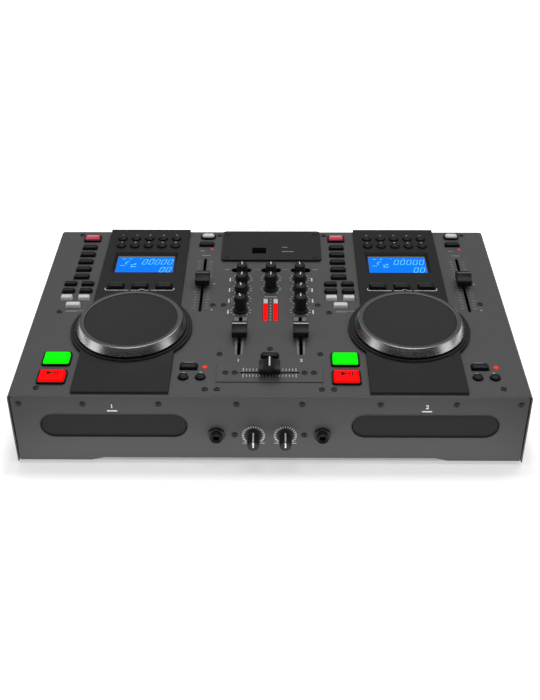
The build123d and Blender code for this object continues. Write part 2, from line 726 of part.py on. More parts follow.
# ---- Knobs: milled skirt, fluted grip, shaft down to the control below ----
def knob(plane, height, name):
    with BuildPart() as turned:
        with BuildSketch(plane.offset(KNOB_GAP)):
            RegularPolygon(KNOB_SKIRT_RADIUS, KNOB_SKIRT_SIDES)
        extrude(amount=KNOB_SKIRT_HEIGHT)
        with BuildSketch(plane.offset(KNOB_GAP + KNOB_SKIRT_HEIGHT)):
            RegularPolygon(KNOB_GRIP_RADIUS, KNOB_GRIP_SIDES)
        extrude(amount=height - KNOB_SKIRT_HEIGHT, taper=KNOB_GRIP_TAPER)
        with BuildSketch(plane.offset(-SHAFT_DROP)):
            RegularPolygon(SHAFT_RADIUS, SHAFT_SIDES)
        extrude(amount=SHAFT_DROP + KNOB_GAP)
    write(turned.part, name)


def deck_plane(x, v):
    return Plane(origin=on_deck(x, v), x_dir=DECK.x_dir, z_dir=DECK.z_dir)


def face_plane(x):
    return Plane(
        origin=FACE.from_local_coords((x, LEVEL_KNOB_Z, 0)), x_dir=FACE.x_dir, z_dir=FACE.z_dir
    )


for side, x in (("left", -KNOB_X), ("right", KNOB_X)):
    for row, use in enumerate(("gain", "treble", "middle", "bass")):
        knob(deck_plane(x, KNOB_V[row]), KNOB_HEIGHT - KNOB_GAP, use + "_knob_" + side)
knob(deck_plane(0.0, KNOB_V[0]), KNOB_HEIGHT - KNOB_GAP, "master_knob")
knob(deck_plane(0.0, KNOB_V[1]), KNOB_HEIGHT - KNOB_GAP, "monitor_knob")
for name, x in (("microphone_knob", -LEVEL_KNOB_X), ("headphone_knob", LEVEL_KNOB_X)):
    knob(face_plane(x), LEVEL_KNOB_HEIGHT, name)


# ---- Input switches ----
for name, place in zip(("left", "middle", "right"), SWITCH_PLACES):
    with BuildPart() as input_switch:
        with BuildSketch(DECK.offset(-BLADE_DROP)):
            with Locations(place):
                Rectangle(SWITCH_CAP[0] / 2, SWITCH_CAP[1] / 2)
        extrude(amount=BLADE_DROP)
        with BuildSketch(DECK.offset(-SHEET)):
            with Locations(place):
                Rectangle(*SWITCH_CAP)
        extrude(amount=SHEET + SWITCH_CAP_RISE, taper=SWITCH_CAP_DRAFT)
    write(input_switch.part, "input_switch_" + name)


# ---- Crossfader plate and middle plate ----
with BuildPart() as crossfader_plate:
    with BuildSketch(DECK):
        with Locations((0, CROSS_PLATE_V)):
            Rectangle(*CROSS_PLATE)
        with Locations((0, CROSS_V)):
            SlotOverall(*CROSS_SLOT, mode=Mode.SUBTRACT)
    extrude(amount=CROSS_PLATE_THICKNESS)
write(crossfader_plate.part, "crossfader_plate")

with BuildPart() as usb_plate:
    with BuildSketch(DECK):
        with Locations((0, USB_PLATE_V)):
            RectangleRounded(*USB_PLATE, USB_PLATE_CORNER)
    extrude(amount=USB_PLATE_THICKNESS)
    with BuildSketch(DECK.offset(-USB_SHELL_DEPTH)):
        with Locations((USB_SLOT_X, USB_SLOT_V)):
            Rectangle(USB_SLOT[0] + 2 * USB_SHELL_WALL, USB_SLOT[1] + 2 * USB_SHELL_WALL)
    extrude(amount=USB_SHELL_DEPTH)
    with BuildSketch(DECK.offset(USB_SHELL_WALL - USB_SHELL_DEPTH)):
        with Locations((USB_SLOT_X, USB_SLOT_V)):
            Rectangle(*USB_SLOT)
    extrude(amount=USB_SHELL_DEPTH + USB_PLATE_THICKNESS, mode=Mode.SUBTRACT)
    with BuildSketch(DECK):
        for x, v in USB_LAMPS:
            with Locations((x, v)):
                Circle(USB_LAMP_RADIUS + SHAFT_CLEARANCE)
    extrude(amount=USB_PLATE_THICKNESS, mode=Mode.SUBTRACT)
write(usb_plate.part, "usb_plate")


# ---- Lamps: the two bars of the level meter and the round indicators ----
with BuildPart() as indicator_lamps:
    with BuildSketch(DECK.offset(-LAMP_DEPTH)):
        with Locations((-METER_X, METER_V), (METER_X, METER_V)):
            Rectangle(*METER_BAR)
    extrude(amount=LAMP_DEPTH + SHAFT_CLEARANCE)
    for x in SIDES.values():
        with BuildSketch(DECK.offset(-LAMP_DEPTH)):
            with Locations((x + TEMPO_LAMP[0], TEMPO_LAMP[1])):
                Circle(LAMP_RADIUS)
            with Locations((x + LOCK_LAMP[0], LOCK_LAMP[1])):
                Circle(LOCK_LAMP_RADIUS)
        extrude(amount=LAMP_DEPTH + LAMP_RISE)
    with BuildSketch(DECK.offset(-LAMP_DEPTH)):
        for x, v in USB_LAMPS:
            with Locations((x, v)):
                Circle(USB_LAMP_RADIUS)
    extrude(amount=LAMP_DEPTH + USB_PLATE_THICKNESS)
write(indicator_lamps.part, "indicator_lamps")


# ---- Disc trays and the drives that carry them ----
TRAY_FACE = FACE.offset(-PANEL_INSET - TRAY_RECESS)
CARRIAGE_FRONT_Y = FRONT_Y + PANEL_INSET + TRAY_RECESS + TRAY_FRONT_THICKNESS
DISC_Y = CARRIAGE_FRONT_Y + DISC_RADIUS + SPINDLE_RADIUS
CARRIAGE_Z = FOOT_HEIGHT + TRAY_Z - CARRIAGE[2] / 2
DRIVE_OUTER = CARRIAGE[0] + 2 * (DRIVE_SIDE_GAP + DRIVE_WALL)
DRIVE_Z = FOOT_HEIGHT + TRAY_Z - DRIVE_HEIGHT / 2
DRIVE_FRONT_Y = CARRIAGE_FRONT_Y + SHEET
for side, x in (("left", -TRAY_X), ("right", TRAY_X)):
    with BuildPart() as disc_tray:
        with BuildSketch(TRAY_FACE):
            with Locations((x, TRAY_Z)):
                SlotOverall(TRAY_FRONT[0] - 2 * TRAY_CLEARANCE, TRAY_FRONT[1] - 2 * TRAY_CLEARANCE)
        extrude(amount=-TRAY_FRONT_THICKNESS)
        with BuildSketch(Plane.XY.offset(CARRIAGE_Z)) as carriage:
            with Locations((x, CARRIAGE_FRONT_Y)):
                Rectangle(CARRIAGE[0], CARRIAGE[1], align=(Align.CENTER, Align.MIN))
            fillet(carriage.vertices().group_by(Axis.Y)[-1], CARRIAGE_CORNER)
            with Locations((x, DISC_Y)):
                Circle(SPINDLE_SLOT / 2, mode=Mode.SUBTRACT)
                Rectangle(SPINDLE_SLOT, CARRIAGE[1], align=(Align.CENTER, Align.MIN),
                          mode=Mode.SUBTRACT)
        extrude(amount=CARRIAGE[2])
        with BuildSketch(Plane.XY.offset(CARRIAGE_Z + CARRIAGE[2] - DISC_RECESS_DEPTH)):
            with Locations((x, DISC_Y)):
                Circle(DISC_RADIUS)
        extrude(amount=DISC_RECESS_DEPTH, mode=Mode.SUBTRACT)
    write(disc_tray.part, "disc_tray_" + side)

with BuildPart() as disc_drives:
    for x in (-TRAY_X, TRAY_X):
        inside = DRIVE_OUTER - 2 * DRIVE_WALL
        runner_top = CARRIAGE_Z - RUNNER_GAP
        with BuildSketch(Plane.XY.offset(DRIVE_Z)):
            with Locations((x, DRIVE_FRONT_Y)):
                Rectangle(DRIVE_OUTER, DRIVE_LENGTH, align=(Align.CENTER, Align.MIN))
        extrude(amount=DRIVE_HEIGHT)
        with BuildSketch(Plane.XY.offset(DRIVE_Z + DRIVE_WALL)):
            with Locations((x, DRIVE_FRONT_Y)):
                Rectangle(inside, DRIVE_LENGTH - DRIVE_WALL, align=(Align.CENTER, Align.MIN))
        extrude(amount=DRIVE_HEIGHT, mode=Mode.SUBTRACT)
        with BuildSketch(Plane.XY.offset(runner_top - RUNNER_HEIGHT)):
            for end in (-1, 1):
                with Locations((x + end * (inside / 2 - DRIVE_SIDE_GAP), DRIVE_FRONT_Y)):
                    Rectangle(2 * DRIVE_SIDE_GAP, DRIVE_LENGTH - DRIVE_WALL,
                              align=(Align.CENTER, Align.MIN))
        extrude(amount=RUNNER_HEIGHT)
        with BuildSketch(Plane.XY.offset(DRIVE_Z + DRIVE_WALL)):
            with Locations((x, DISC_Y)):
                Circle(SPINDLE_RADIUS)
        extrude(amount=CARRIAGE_Z + CARRIAGE[2] - DISC_RECESS_DEPTH - DRIVE_Z - DRIVE_WALL)
        with BuildSketch(Plane.XY.offset(FOOT_HEIGHT + SHEET)):
            with Locations((x, DRIVE_FRONT_Y + DRIVE_LENGTH / 2)):
                with GridLocations(
                    inside - 2 * DRIVE_LEG_INSET[0], DRIVE_LENGTH - 2 * DRIVE_LEG_INSET[1], 2, 2
                ):
                    Rectangle(DRIVE_LEG, DRIVE_LEG)
        extrude(amount=DRIVE_Z - FOOT_HEIGHT - SHEET)
write(disc_drives.part, "disc_drives")


# ---- Front jacks: hexagon nut, threaded barrel and body behind the panel ----
with BuildPart() as front_jacks:
    nut_plane = FACE.offset(-PANEL_INSET)
    body_plane = FACE.offset(-PANEL_INSET - PANEL_SHEET)
    for x in (-JACK_X, JACK_X):
        with BuildSketch(nut_plane):
            with Locations((x, JACK_Z)):
                RegularPolygon(JACK_NUT_RADIUS, JACK_NUT_SIDES)
        extrude(amount=JACK_NUT_HEIGHT)
        with BuildSketch(body_plane):
            with Locations((x, JACK_Z)):
                Circle(JACK_BARREL_RADIUS)
        extrude(amount=PANEL_INSET + PANEL_SHEET + JACK_PROUD)
        with BuildSketch(body_plane):
            with Locations((x, JACK_Z)):
                Rectangle(JACK_BODY[0], JACK_BODY[1])
        extrude(amount=-JACK_BODY[2])
        with BuildSketch(FACE.offset(JACK_PROUD)):
            with Locations((x, JACK_Z)):
                Circle(JACK_BORE_RADIUS)
        extrude(amount=-JACK_BORE_LENGTH, mode=Mode.SUBTRACT)
write(front_jacks.part, "front_jacks")


# ---- Rear sockets: phono pairs on a moulded block, mains inlet, frame of the switch ----
with BuildPart() as rear_sockets:
    with BuildSketch(BACK.offset(-PANEL_INSET - PANEL_SHEET)):
        with Locations((-SOCKET_X, SOCKET_Z)):
            Rectangle(SOCKET_COLUMNS * SOCKET_PITCH[0], 2 * SOCKET_PITCH[1])
    extrude(amount=-SOCKET_BLOCK)
    with BuildSketch(BACK.offset(-PANEL_INSET - PANEL_SHEET)):
        with Locations((-SOCKET_X, SOCKET_Z)):
            with GridLocations(*SOCKET_PITCH, SOCKET_COLUMNS, 2):
                Circle(SOCKET_RING_RADIUS)
    extrude(amount=PANEL_INSET + PANEL_SHEET + SOCKET_RING_RISE)
    with BuildSketch(BACK.offset(SOCKET_RING_RISE)):
        with Locations((-SOCKET_X, SOCKET_Z)):
            with GridLocations(*SOCKET_PITCH, SOCKET_COLUMNS, 2):
                Circle(SOCKET_RADIUS)
    extrude(amount=SOCKET_PROUD - SOCKET_RING_RISE)
    with BuildSketch(BACK.offset(SOCKET_PROUD)):
        with Locations((-SOCKET_X, SOCKET_Z)):
            with GridLocations(*SOCKET_PITCH, SOCKET_COLUMNS, 2):
                Circle(SOCKET_PIN_RADIUS)
    extrude(amount=-SOCKET_PIN_DEPTH, mode=Mode.SUBTRACT)
    with BuildSketch(BACK_SKIN):
        with Locations((-INLET_X, INLET_Z)):
            Rectangle(*INLET_FLANGE)
        with Locations((-ROCKER_X, INLET_Z)):
            Rectangle(ROCKER_HOLE[0] + 2 * ROCKER_LIP, ROCKER_HOLE[1] + 2 * ROCKER_LIP)
    extrude(amount=INLET_FLANGE_THICKNESS)
    with BuildSketch(BACK_SKIN):
        with Locations((-INLET_X, INLET_Z)):
            Rectangle(INLET_FLANGE[0] - INLET_LIP, INLET_FLANGE[1] - INLET_LIP)
    extrude(amount=-INLET_DEPTH)
    with BuildSketch(BACK_SKIN):
        with Locations((-ROCKER_X, INLET_Z)):
            Rectangle(ROCKER_HOLE[0] + ROCKER_LIP, ROCKER_HOLE[1] + ROCKER_LIP)
    extrude(amount=-ROCKER_DEPTH)
    with BuildSketch(BACK_SKIN.offset(INLET_FLANGE_THICKNESS)):
        with Locations((-INLET_X, INLET_Z)):
            Rectangle(*INLET_CAVITY)
    extrude(amount=-INLET_CAVITY_DEPTH, mode=Mode.SUBTRACT)
    with BuildSketch(BACK_SKIN.offset(INLET_FLANGE_THICKNESS)):
        with Locations((-ROCKER_X, INLET_Z)):
            Rectangle(*ROCKER_HOLE)
    extrude(amount=-INLET_FLANGE_THICKNESS - ROCKER_DEPTH, mode=Mode.SUBTRACT)
    with BuildSketch(BACK_SKIN.offset(INLET_FLANGE_THICKNESS - INLET_CAVITY_DEPTH)):
        with Locations(
            (-INLET_X - INLET_PIN_PITCH, INLET_Z - INLET_PIN_STEP),
            (-INLET_X, INLET_Z + INLET_PIN_STEP),
            (-INLET_X + INLET_PIN_PITCH, INLET_Z - INLET_PIN_STEP),
        ):
            Rectangle(INLET_PIN[0], INLET_PIN[1])
    extrude(amount=INLET_PIN[2])
write(rear_sockets.part, "rear_sockets")


# ---- Rocker of the power switch, pressed in at its lower end ----
ROCKER_SIDE = Plane(
    origin=BACK_SKIN.from_local_coords((-ROCKER_X, INLET_Z, 0)), x_dir=(0, 0, 1), z_dir=(-1, 0, 0)
)
ROCKER_WIDTH = ROCKER_HOLE[0] - 2 * KEY_CLEARANCE
ROCKER_REACH = ROCKER_HOLE[1] / 2 - 3 * KEY_CLEARANCE
with BuildPart() as power_rocker:
    with BuildSketch(ROCKER_SIDE.offset(-ROCKER_WIDTH / 2)):
        with BuildLine():
            Polyline(
                (0, -ROCKER_KEEL),
                (-ROCKER_REACH, -ROCKER_SKIRT),
                (-ROCKER_REACH, ROCKER_IN),
                (0, ROCKER_DIP),
                (ROCKER_REACH, ROCKER_OUT),
                (ROCKER_REACH, -ROCKER_SKIRT),
                close=True,
            )
        make_face()
    extrude(amount=ROCKER_WIDTH)
write(power_rocker.part, "power_rocker")


# ---- Circuit boards with the controls that stand on them ----
FRAME_FLOOR = -BOARD_DROP


def fader_frame(x, v, slot, turn=0):
    """The open channel below a fader, on the underside of the cover."""
    length = slot[0] + 2 * FRAME_END
    with BuildSketch(DECK.offset(FRAME_FLOOR)) as body:
        with Locations((x, v)):
            Rectangle(length, FRAME_WIDTH, rotation=turn)
    extrude(body.sketch, amount=FRAME_TOP - FRAME_FLOOR)
    with BuildSketch(DECK.offset(FRAME_FLOOR + FRAME_WALL)) as channel:
        with Locations((x, v)):
            Rectangle(length - 2 * FRAME_WALL, FRAME_WIDTH - 2 * FRAME_WALL, rotation=turn)
    extrude(channel.sketch, amount=FRAME_TOP - FRAME_FLOOR, mode=Mode.SUBTRACT)


def rotary_control(plane, top):
    """The square body below a knob, bored for its shaft."""
    with BuildSketch(plane.offset(-BOARD_DROP)) as body:
        Rectangle(POT_SIZE, POT_SIZE)
    extrude(body.sketch, amount=BOARD_DROP + top)
    with BuildSketch(plane.offset(-SHAFT_DROP - KNOB_GAP)) as bore:
        RegularPolygon(SHAFT_RADIUS + 2 * SHAFT_CLEARANCE, SHAFT_SIDES)
    extrude(bore.sketch, amount=SHAFT_DROP + KNOB_GAP + top, mode=Mode.SUBTRACT)


with BuildPart() as circuit_boards:
    with BuildSketch(DECK.offset(-BOARD_DROP - BOARD)):
        with Locations((0, MIXER_BOARD_V)):
            Rectangle(*MIXER_BOARD)
        for x in SIDES.values():
            with Locations((x + TRANSPORT_KEY_U, KEY_BOARD_V), (x + PITCH_U, KEY_BOARD_V)):
                Rectangle(*KEY_BOARD)
            with Locations((x, PLATE_BOARD_V)):
                Rectangle(*PLATE_BOARD)
    extrude(amount=BOARD)
    with BuildSketch(DECK.offset(-BOARD_DROP)):
        for x in SIDES.values():
            for v in KEY_BOARD_POSTS:
                with Locations((x + TRANSPORT_KEY_U, v)):
                    Rectangle(POST, POST)
            for v in PLATE_BOARD_POSTS[1:]:
                with Locations((x - PLATE_BOARD_POSTS[0], v), (x + PLATE_BOARD_POSTS[0], v)):
                    Rectangle(POST, POST)
    extrude(amount=BOARD_DROP - SHEET)
    for x, v in KNOB_PLACES:
        rotary_control(deck_plane(x, v), FRAME_TOP)
    for x in SIDES.values():
        fader_frame(x + PITCH_U, PITCH_V, PITCH_SLOT, 90)
    for x in (-CHANNEL_X, CHANNEL_X):
        fader_frame(x, CHANNEL_V, CHANNEL_SLOT, 90)
    fader_frame(0.0, CROSS_V, CROSS_SLOT)
    for x in (-LEVEL_KNOB_X, LEVEL_KNOB_X):
        rotary_control(face_plane(x), -PANEL_INSET - PANEL_SHEET)
    with BuildSketch(FACE.offset(-BOARD_DROP - BOARD)):
        with Locations((0, LEVEL_KNOB_Z)):
            Rectangle(*FACE_BOARD)
    extrude(amount=BOARD)
    with BuildSketch(FLOOR.offset(MAIN_BOARD_RISE)):
        with Locations((0, FRONT_Y + MAIN_BOARD_V)):
            Rectangle(*MAIN_BOARD)
    extrude(amount=BOARD)
    with BuildSketch(FLOOR.offset(SHEET)):
        with Locations((0, FRONT_Y + MAIN_BOARD_V)):
            with GridLocations(MAIN_BOARD[0] - 2 * POST, MAIN_BOARD[1] - 2 * POST, 2, 2):
                Rectangle(POST, POST)
    extrude(amount=MAIN_BOARD_RISE - SHEET)
write(circuit_boards.part, "circuit_boards")


# ---- Power supply: board, transformer, two capacitors and a finned heat sink ----
SUPPLY_Y = BACK_Y - SUPPLY_BACK_GAP
with BuildPart() as power_supply:
    with BuildSketch(FLOOR.offset(SHEET)):
        with Locations((SUPPLY_X, SUPPLY_Y)):
            with GridLocations(
                SUPPLY_BOARD[0] - 2 * POST, SUPPLY_BOARD[1] - 2 * POST, 2, 2
            ):
                Rectangle(POST, POST)
    extrude(amount=MAIN_BOARD_RISE - SHEET)
    with BuildSketch(FLOOR.offset(MAIN_BOARD_RISE)):
        with Locations((SUPPLY_X, SUPPLY_Y)):
            Rectangle(*SUPPLY_BOARD)
    extrude(amount=BOARD)
    with BuildSketch(FLOOR.offset(MAIN_BOARD_RISE + BOARD)):
        with Locations((SUPPLY_X - SUPPLY_BOARD[0] / 4, SUPPLY_Y - SUPPLY_PARTS_FORWARD)):
            Rectangle(TRANSFORMER[0], TRANSFORMER[1])
    extrude(amount=TRANSFORMER[2])
    with BuildSketch(FLOOR.offset(MAIN_BOARD_RISE + BOARD)):
        with Locations((SUPPLY_X + SUPPLY_BOARD[0] / 4, SUPPLY_Y - SUPPLY_PARTS_FORWARD)):
            with GridLocations(0, CAPACITOR_PITCH, 1, 2):
                Circle(CAPACITOR_RADIUS)
    extrude(amount=CAPACITOR_HEIGHT)
    with BuildSketch(FLOOR.offset(MAIN_BOARD_RISE + BOARD)):
        with Locations((SUPPLY_X, SUPPLY_Y + SUPPLY_BOARD[1] / 2 - HEAT_SINK_FIN[1])):
            Rectangle(HEAT_SINK[0], HEAT_SINK[1])
            with GridLocations(HEAT_SINK[0] / HEAT_SINK_FINS, 0, HEAT_SINK_FINS, 1):
                Rectangle(HEAT_SINK_FIN[0], HEAT_SINK_FIN[1], align=(Align.CENTER, Align.MIN))
    extrude(amount=HEAT_SINK[2])
write(power_supply.part, "power_supply")
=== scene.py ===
"""Looks of a table-top dual disc player with a mixer between its decks."""

import logging
import math
from dataclasses import dataclass
from enum import Enum
from typing import Iterable, Sequence

import bmesh
import bpy
from mathutils import Matrix, Vector


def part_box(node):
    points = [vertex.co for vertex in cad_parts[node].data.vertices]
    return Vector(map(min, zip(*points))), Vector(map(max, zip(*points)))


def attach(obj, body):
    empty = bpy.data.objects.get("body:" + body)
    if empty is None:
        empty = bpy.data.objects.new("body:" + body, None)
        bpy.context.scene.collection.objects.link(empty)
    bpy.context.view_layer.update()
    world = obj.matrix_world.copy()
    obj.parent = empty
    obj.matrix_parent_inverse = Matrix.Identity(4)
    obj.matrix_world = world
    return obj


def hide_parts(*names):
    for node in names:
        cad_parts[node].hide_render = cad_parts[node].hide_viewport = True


LOG = logging.getLogger("disc_player")
MM = 0.001
Colour = tuple[float, float, float]
Pair = tuple[float, float]

FRONT_HEIGHT = 79.2
PLATE = 3.0
MIDDLE_PLATE = 2.6
INK_HEIGHT = 0.05
DECK_X = 137.7
JOG_V = 104.9
FACE_SKIN = -0.6
CROSS_V = 33.7
CROSS_PLATE = 0.8


# ---------------------------------------------------------------- shader arithmetic


class Field:
    """One shader socket that takes part in arithmetic."""

    def __init__(self, tree: bpy.types.NodeTree, socket: bpy.types.NodeSocket) -> None:
        """Wraps a socket."""
        self.tree = tree
        self.socket = socket

    def _math(self, operation: str, *operands: "Field | float") -> "Field":
        """Adds a Math node.

        Args:
            operation: the node's operation.
            operands: its inputs in order, sockets or numbers.

        Returns:
            The node's output.
        """
        node = self.tree.nodes.new("ShaderNodeMath")
        node.operation = operation
        for socket, operand in zip(node.inputs, operands):
            if isinstance(operand, Field):
                self.tree.links.new(operand.socket, socket)
            else:
                socket.default_value = operand
        return Field(self.tree, node.outputs[0])

    def __add__(self, other: "Field | float") -> "Field":
        """Sum."""
        return self._math("ADD", self, other)

    def __sub__(self, other: "Field | float") -> "Field":
        """Difference."""
        return self._math("SUBTRACT", self, other)

    def __rsub__(self, other: float) -> "Field":
        """Difference, number first."""
        return self._math("SUBTRACT", other, self)

    def __mul__(self, other: "Field | float") -> "Field":
        """Product."""
        return self._math("MULTIPLY", self, other)

    def angle_from(self, other: "Field") -> "Field":
        """The angle whose tangent is this over the other."""
        return self._math("ARCTAN2", self, other)

    def sine(self) -> "Field":
        """Sine of the value in radians."""
        return self._math("SINE", self)

    def root(self) -> "Field":
        """Square root."""
        return self._math("SQRT", self)

    def size(self) -> "Field":
        """Value without its sign."""
        return self._math("ABSOLUTE", self)

    def held(self) -> "Field":
        """Value held between 0 and 1."""
        return self._math("MINIMUM", self._math("MAXIMUM", self, 0.0), 1.0)


class Nodes:
    """A node tree that is written in fields."""

    def __init__(self, tree: bpy.types.NodeTree) -> None:
        """Wraps a tree."""
        self.tree = tree

    def node(self, kind: str, settings: dict | None = None, **sockets: object) -> bpy.types.Node:
        """Adds any node.

        Args:
            kind: the node's type.
            settings: its properties, set before the sockets.
            sockets: its inputs by name, with _ for a space: fields, numbers or colours.

        Returns:
            The node.
        """
        node = self.tree.nodes.new(kind)
        for key, value in (settings or {}).items():
            setattr(node, key, value)
        for key, value in sockets.items():
            self.plug(node.inputs[key.replace("_", " ")], value)
        return node

    def plug(self, socket: bpy.types.NodeSocket, value: object) -> None:
        """Links or sets one input socket.

        Args:
            socket: the input.
            value: a field, a number or a colour.
        """
        if isinstance(value, Field):
            self.tree.links.new(value.socket, socket)
        elif isinstance(value, tuple) and socket.type == "RGBA":
            socket.default_value = (*value, 1.0)
        else:
            socket.default_value = value

    def field(self, node: bpy.types.Node, output: str | int = 0) -> Field:
        """An output of a node as a field."""
        return Field(self.tree, node.outputs[output])

    def point(self) -> Field:
        """The place on the object, in metres."""
        return self.field(self.node("ShaderNodeTexCoord"), "Object")

    def noise(self, at: Field, scale: float, detail: float = 2.0) -> Field:
        """Cloudy noise between 0 and 1."""
        node = self.node("ShaderNodeTexNoise", None, Vector=at, Scale=scale, Detail=detail)
        return self.field(node, "Fac")

    def stretched(self, at: Field, scale: Sequence[float]) -> Field:
        """The point with each axis scaled by its own number.

        Args:
            at: the point.
            scale: the three numbers.

        Returns:
            The scaled point.
        """
        node = self.node("ShaderNodeVectorMath", {"operation": "MULTIPLY"})
        self.tree.links.new(at.socket, node.inputs[0])
        node.inputs[1].default_value = scale
        return self.field(node)

    def axes(self, at: Field) -> tuple[Field, Field, Field]:
        """The three parts of a point."""
        node = self.node("ShaderNodeSeparateXYZ", None, Vector=at)
        return self.field(node, 0), self.field(node, 1), self.field(node, 2)

    def blend(self, share: Field, low: Colour, high: Colour) -> Field:
        """A colour between two.

        Args:
            share: 0 for low and 1 for high.
            low: the first colour.
            high: the second colour.

        Returns:
            The mixed colour.
        """
        node = self.node("ShaderNodeMix", {"data_type": "RGBA"})
        self.plug(node.inputs[0], share)
        node.inputs[6].default_value = (*low, 1.0)
        node.inputs[7].default_value = (*high, 1.0)
        return self.field(node, 2)


class Paintbox(Nodes):
    """The node tree of one material, with a principled shader at its end."""

    def __init__(self, name: str) -> None:
        """Starts a material.

        Args:
            name: the material's name.
        """
        self.material = bpy.data.materials.new(name)
        self.material.use_nodes = True
        super().__init__(self.material.node_tree)
        self.shader = self.tree.nodes["Principled BSDF"]

    def surface(self, **sockets: object) -> None:
        """Sets or links sockets of the principled shader."""
        for key, value in sockets.items():
            self.plug(self.shader.inputs[key.replace("_", " ")], value)

    def relief(self, height: Field, depth: float, edge: float = 0.0) -> None:
        """Raises the surface by a height field and rounds its edges in the shading.

        Args:
            height: the height, about 0 to 1.
            depth: the depth of the relief, in metres.
            edge: the radius that edges are shaded with, in metres.
        """
        bump = self.node("ShaderNodeBump", None, Height=height, Distance=depth, Strength=1.0)
        if edge > 0.0:
            rounded = self.node("ShaderNodeBevel", {"samples": 4}, Radius=edge)
            self.plug(bump.inputs["Normal"], self.field(rounded))
        self.plug(self.shader.inputs["Normal"], self.field(bump))


def shade(colour: Colour, factor: float) -> Colour:
    """A colour made lighter or darker."""
    return tuple(min(1.0, part * factor) for part in colour)


# ---------------------------------------------------------------- finishes


@dataclass(frozen=True)
class Coating:
    """Powder coat or moulded plastic: an even colour with cloud, grain and rounded edges."""

    name: str
    colour: Colour
    roughness: float = 0.45
    cloud: float = 0.08
    grain: float = 1500.0
    depth: float = 0.00004
    edge: float = 0.0
    coat: float = 0.0
    scuff: float = 0.05
    shine: float = 0.3

    def make(self) -> bpy.types.Material:
        """Builds the material.

        Returns:
            The material.
        """
        box = Paintbox(self.name)
        point = box.point()
        cloud = box.noise(point, 14.0, 4.0)
        grain = box.noise(point, self.grain, 2.0)
        share = (cloud * 0.55 + grain * 0.45).held()
        low = shade(self.colour, 1.0 - self.cloud)
        high = shade(self.colour, 1.0 + self.cloud)
        scuff = box.noise(box.stretched(point, (1.0, 0.25, 1.0)), 260.0, 3.0)
        box.surface(
            Base_Color=box.blend(share, low, high),
            Roughness=(scuff - 0.5) * self.scuff + (grain - 0.5) * self.scuff + self.roughness,
            Coat_Weight=self.coat,
            Specular_IOR_Level=self.shine,
        )
        box.relief(grain, self.depth, self.edge)
        return box.material


@dataclass(frozen=True)
class TurnedMetal:
    """Metal brushed in rings round an upright axis, with light and dark reflection bands painted
    into its colour by angle round that axis.
    """

    name: str
    centre: Pair
    colour: Colour
    roughness: float = 0.26

    def make(self) -> bpy.types.Material:
        """Builds the material.

        Returns:
            The material.
        """
        box = Paintbox(self.name)
        across, along, up = box.axes(box.point())
        x = across - self.centre[0]
        y = along - self.centre[1]
        radius = (x * x + y * y).root()
        turn = y.angle_from(x)
        rings = box.noise(self._lined(box, radius * 60.0 + up * 60.0, turn * 0.04), 90.0, 3.0)
        # painted reflection: bands that are lighter and darker by angle round the axis, mixed into
        # the base colour with the brushed rings
        painted_reflection_bands = (turn * 7.0).sine() * 0.3 + (turn * 3.0 + 1.1).sine() * 0.45 + 0.5
        box.surface(
            Base_Color=box.blend(
                (rings * 0.6 + painted_reflection_bands * 0.4).held(),
                shade(self.colour, 0.78),
                shade(self.colour, 1.12),
            ),
            Metallic=1.0,
            Roughness=(rings - 0.5) * 0.10 + self.roughness,
        )
        box.relief(rings, 0.00003)
        return box.material

    def _lined(self, box: Paintbox, first: Field, second: Field) -> Field:
        """A point whose first part changes fast and whose second changes slowly."""
        return box.field(box.node("ShaderNodeCombineXYZ", None, X=first, Y=second))


@dataclass(frozen=True)
class BrushedMetal:
    """Rolled or brushed sheet, lined along one axis."""

    name: str
    colour: Colour
    roughness: float = 0.35
    lines: tuple[float, float, float] = (0.05, 1.0, 1.0)

    def make(self) -> bpy.types.Material:
        """Builds the material.

        Returns:
            The material.
        """
        box = Paintbox(self.name)
        point = box.point()
        lines = box.noise(box.stretched(point, self.lines), 1800.0, 3.0)
        cloud = box.noise(point, 25.0, 3.0)
        box.surface(
            Base_Color=box.blend(lines, shade(self.colour, 0.8), shade(self.colour, 1.1)),
            Metallic=1.0,
            Roughness=(lines - 0.5) * 0.2 + (cloud - 0.5) * 0.1 + self.roughness,
        )
        box.relief(lines, 0.00002)
        return box.material


@dataclass(frozen=True)
class Lit:
    """Clear coloured plastic or a lens with a lamp behind it."""

    name: str
    colour: Colour
    glow: float
    body: float = 0.7
    roughness: float = 0.25
    shine: float = 0.15

    def make(self) -> bpy.types.Material:
        """Builds the material.

        Returns:
            The material.
        """
        box = Paintbox(self.name)
        point = box.point()
        cloud = box.noise(point, 120.0, 2.0)
        fine = box.noise(point, 1800.0, 2.0)
        box.surface(
            Base_Color=box.blend(fine, shade(self.colour, self.body), self.colour),
            Roughness=(fine - 0.5) * 0.1 + self.roughness,
            Emission_Color=box.blend(cloud, shade(self.colour, 0.9), self.colour),
            Emission_Strength=self.glow,
            Specular_IOR_Level=self.shine,
        )
        box.relief(fine, 0.00001)
        return box.material


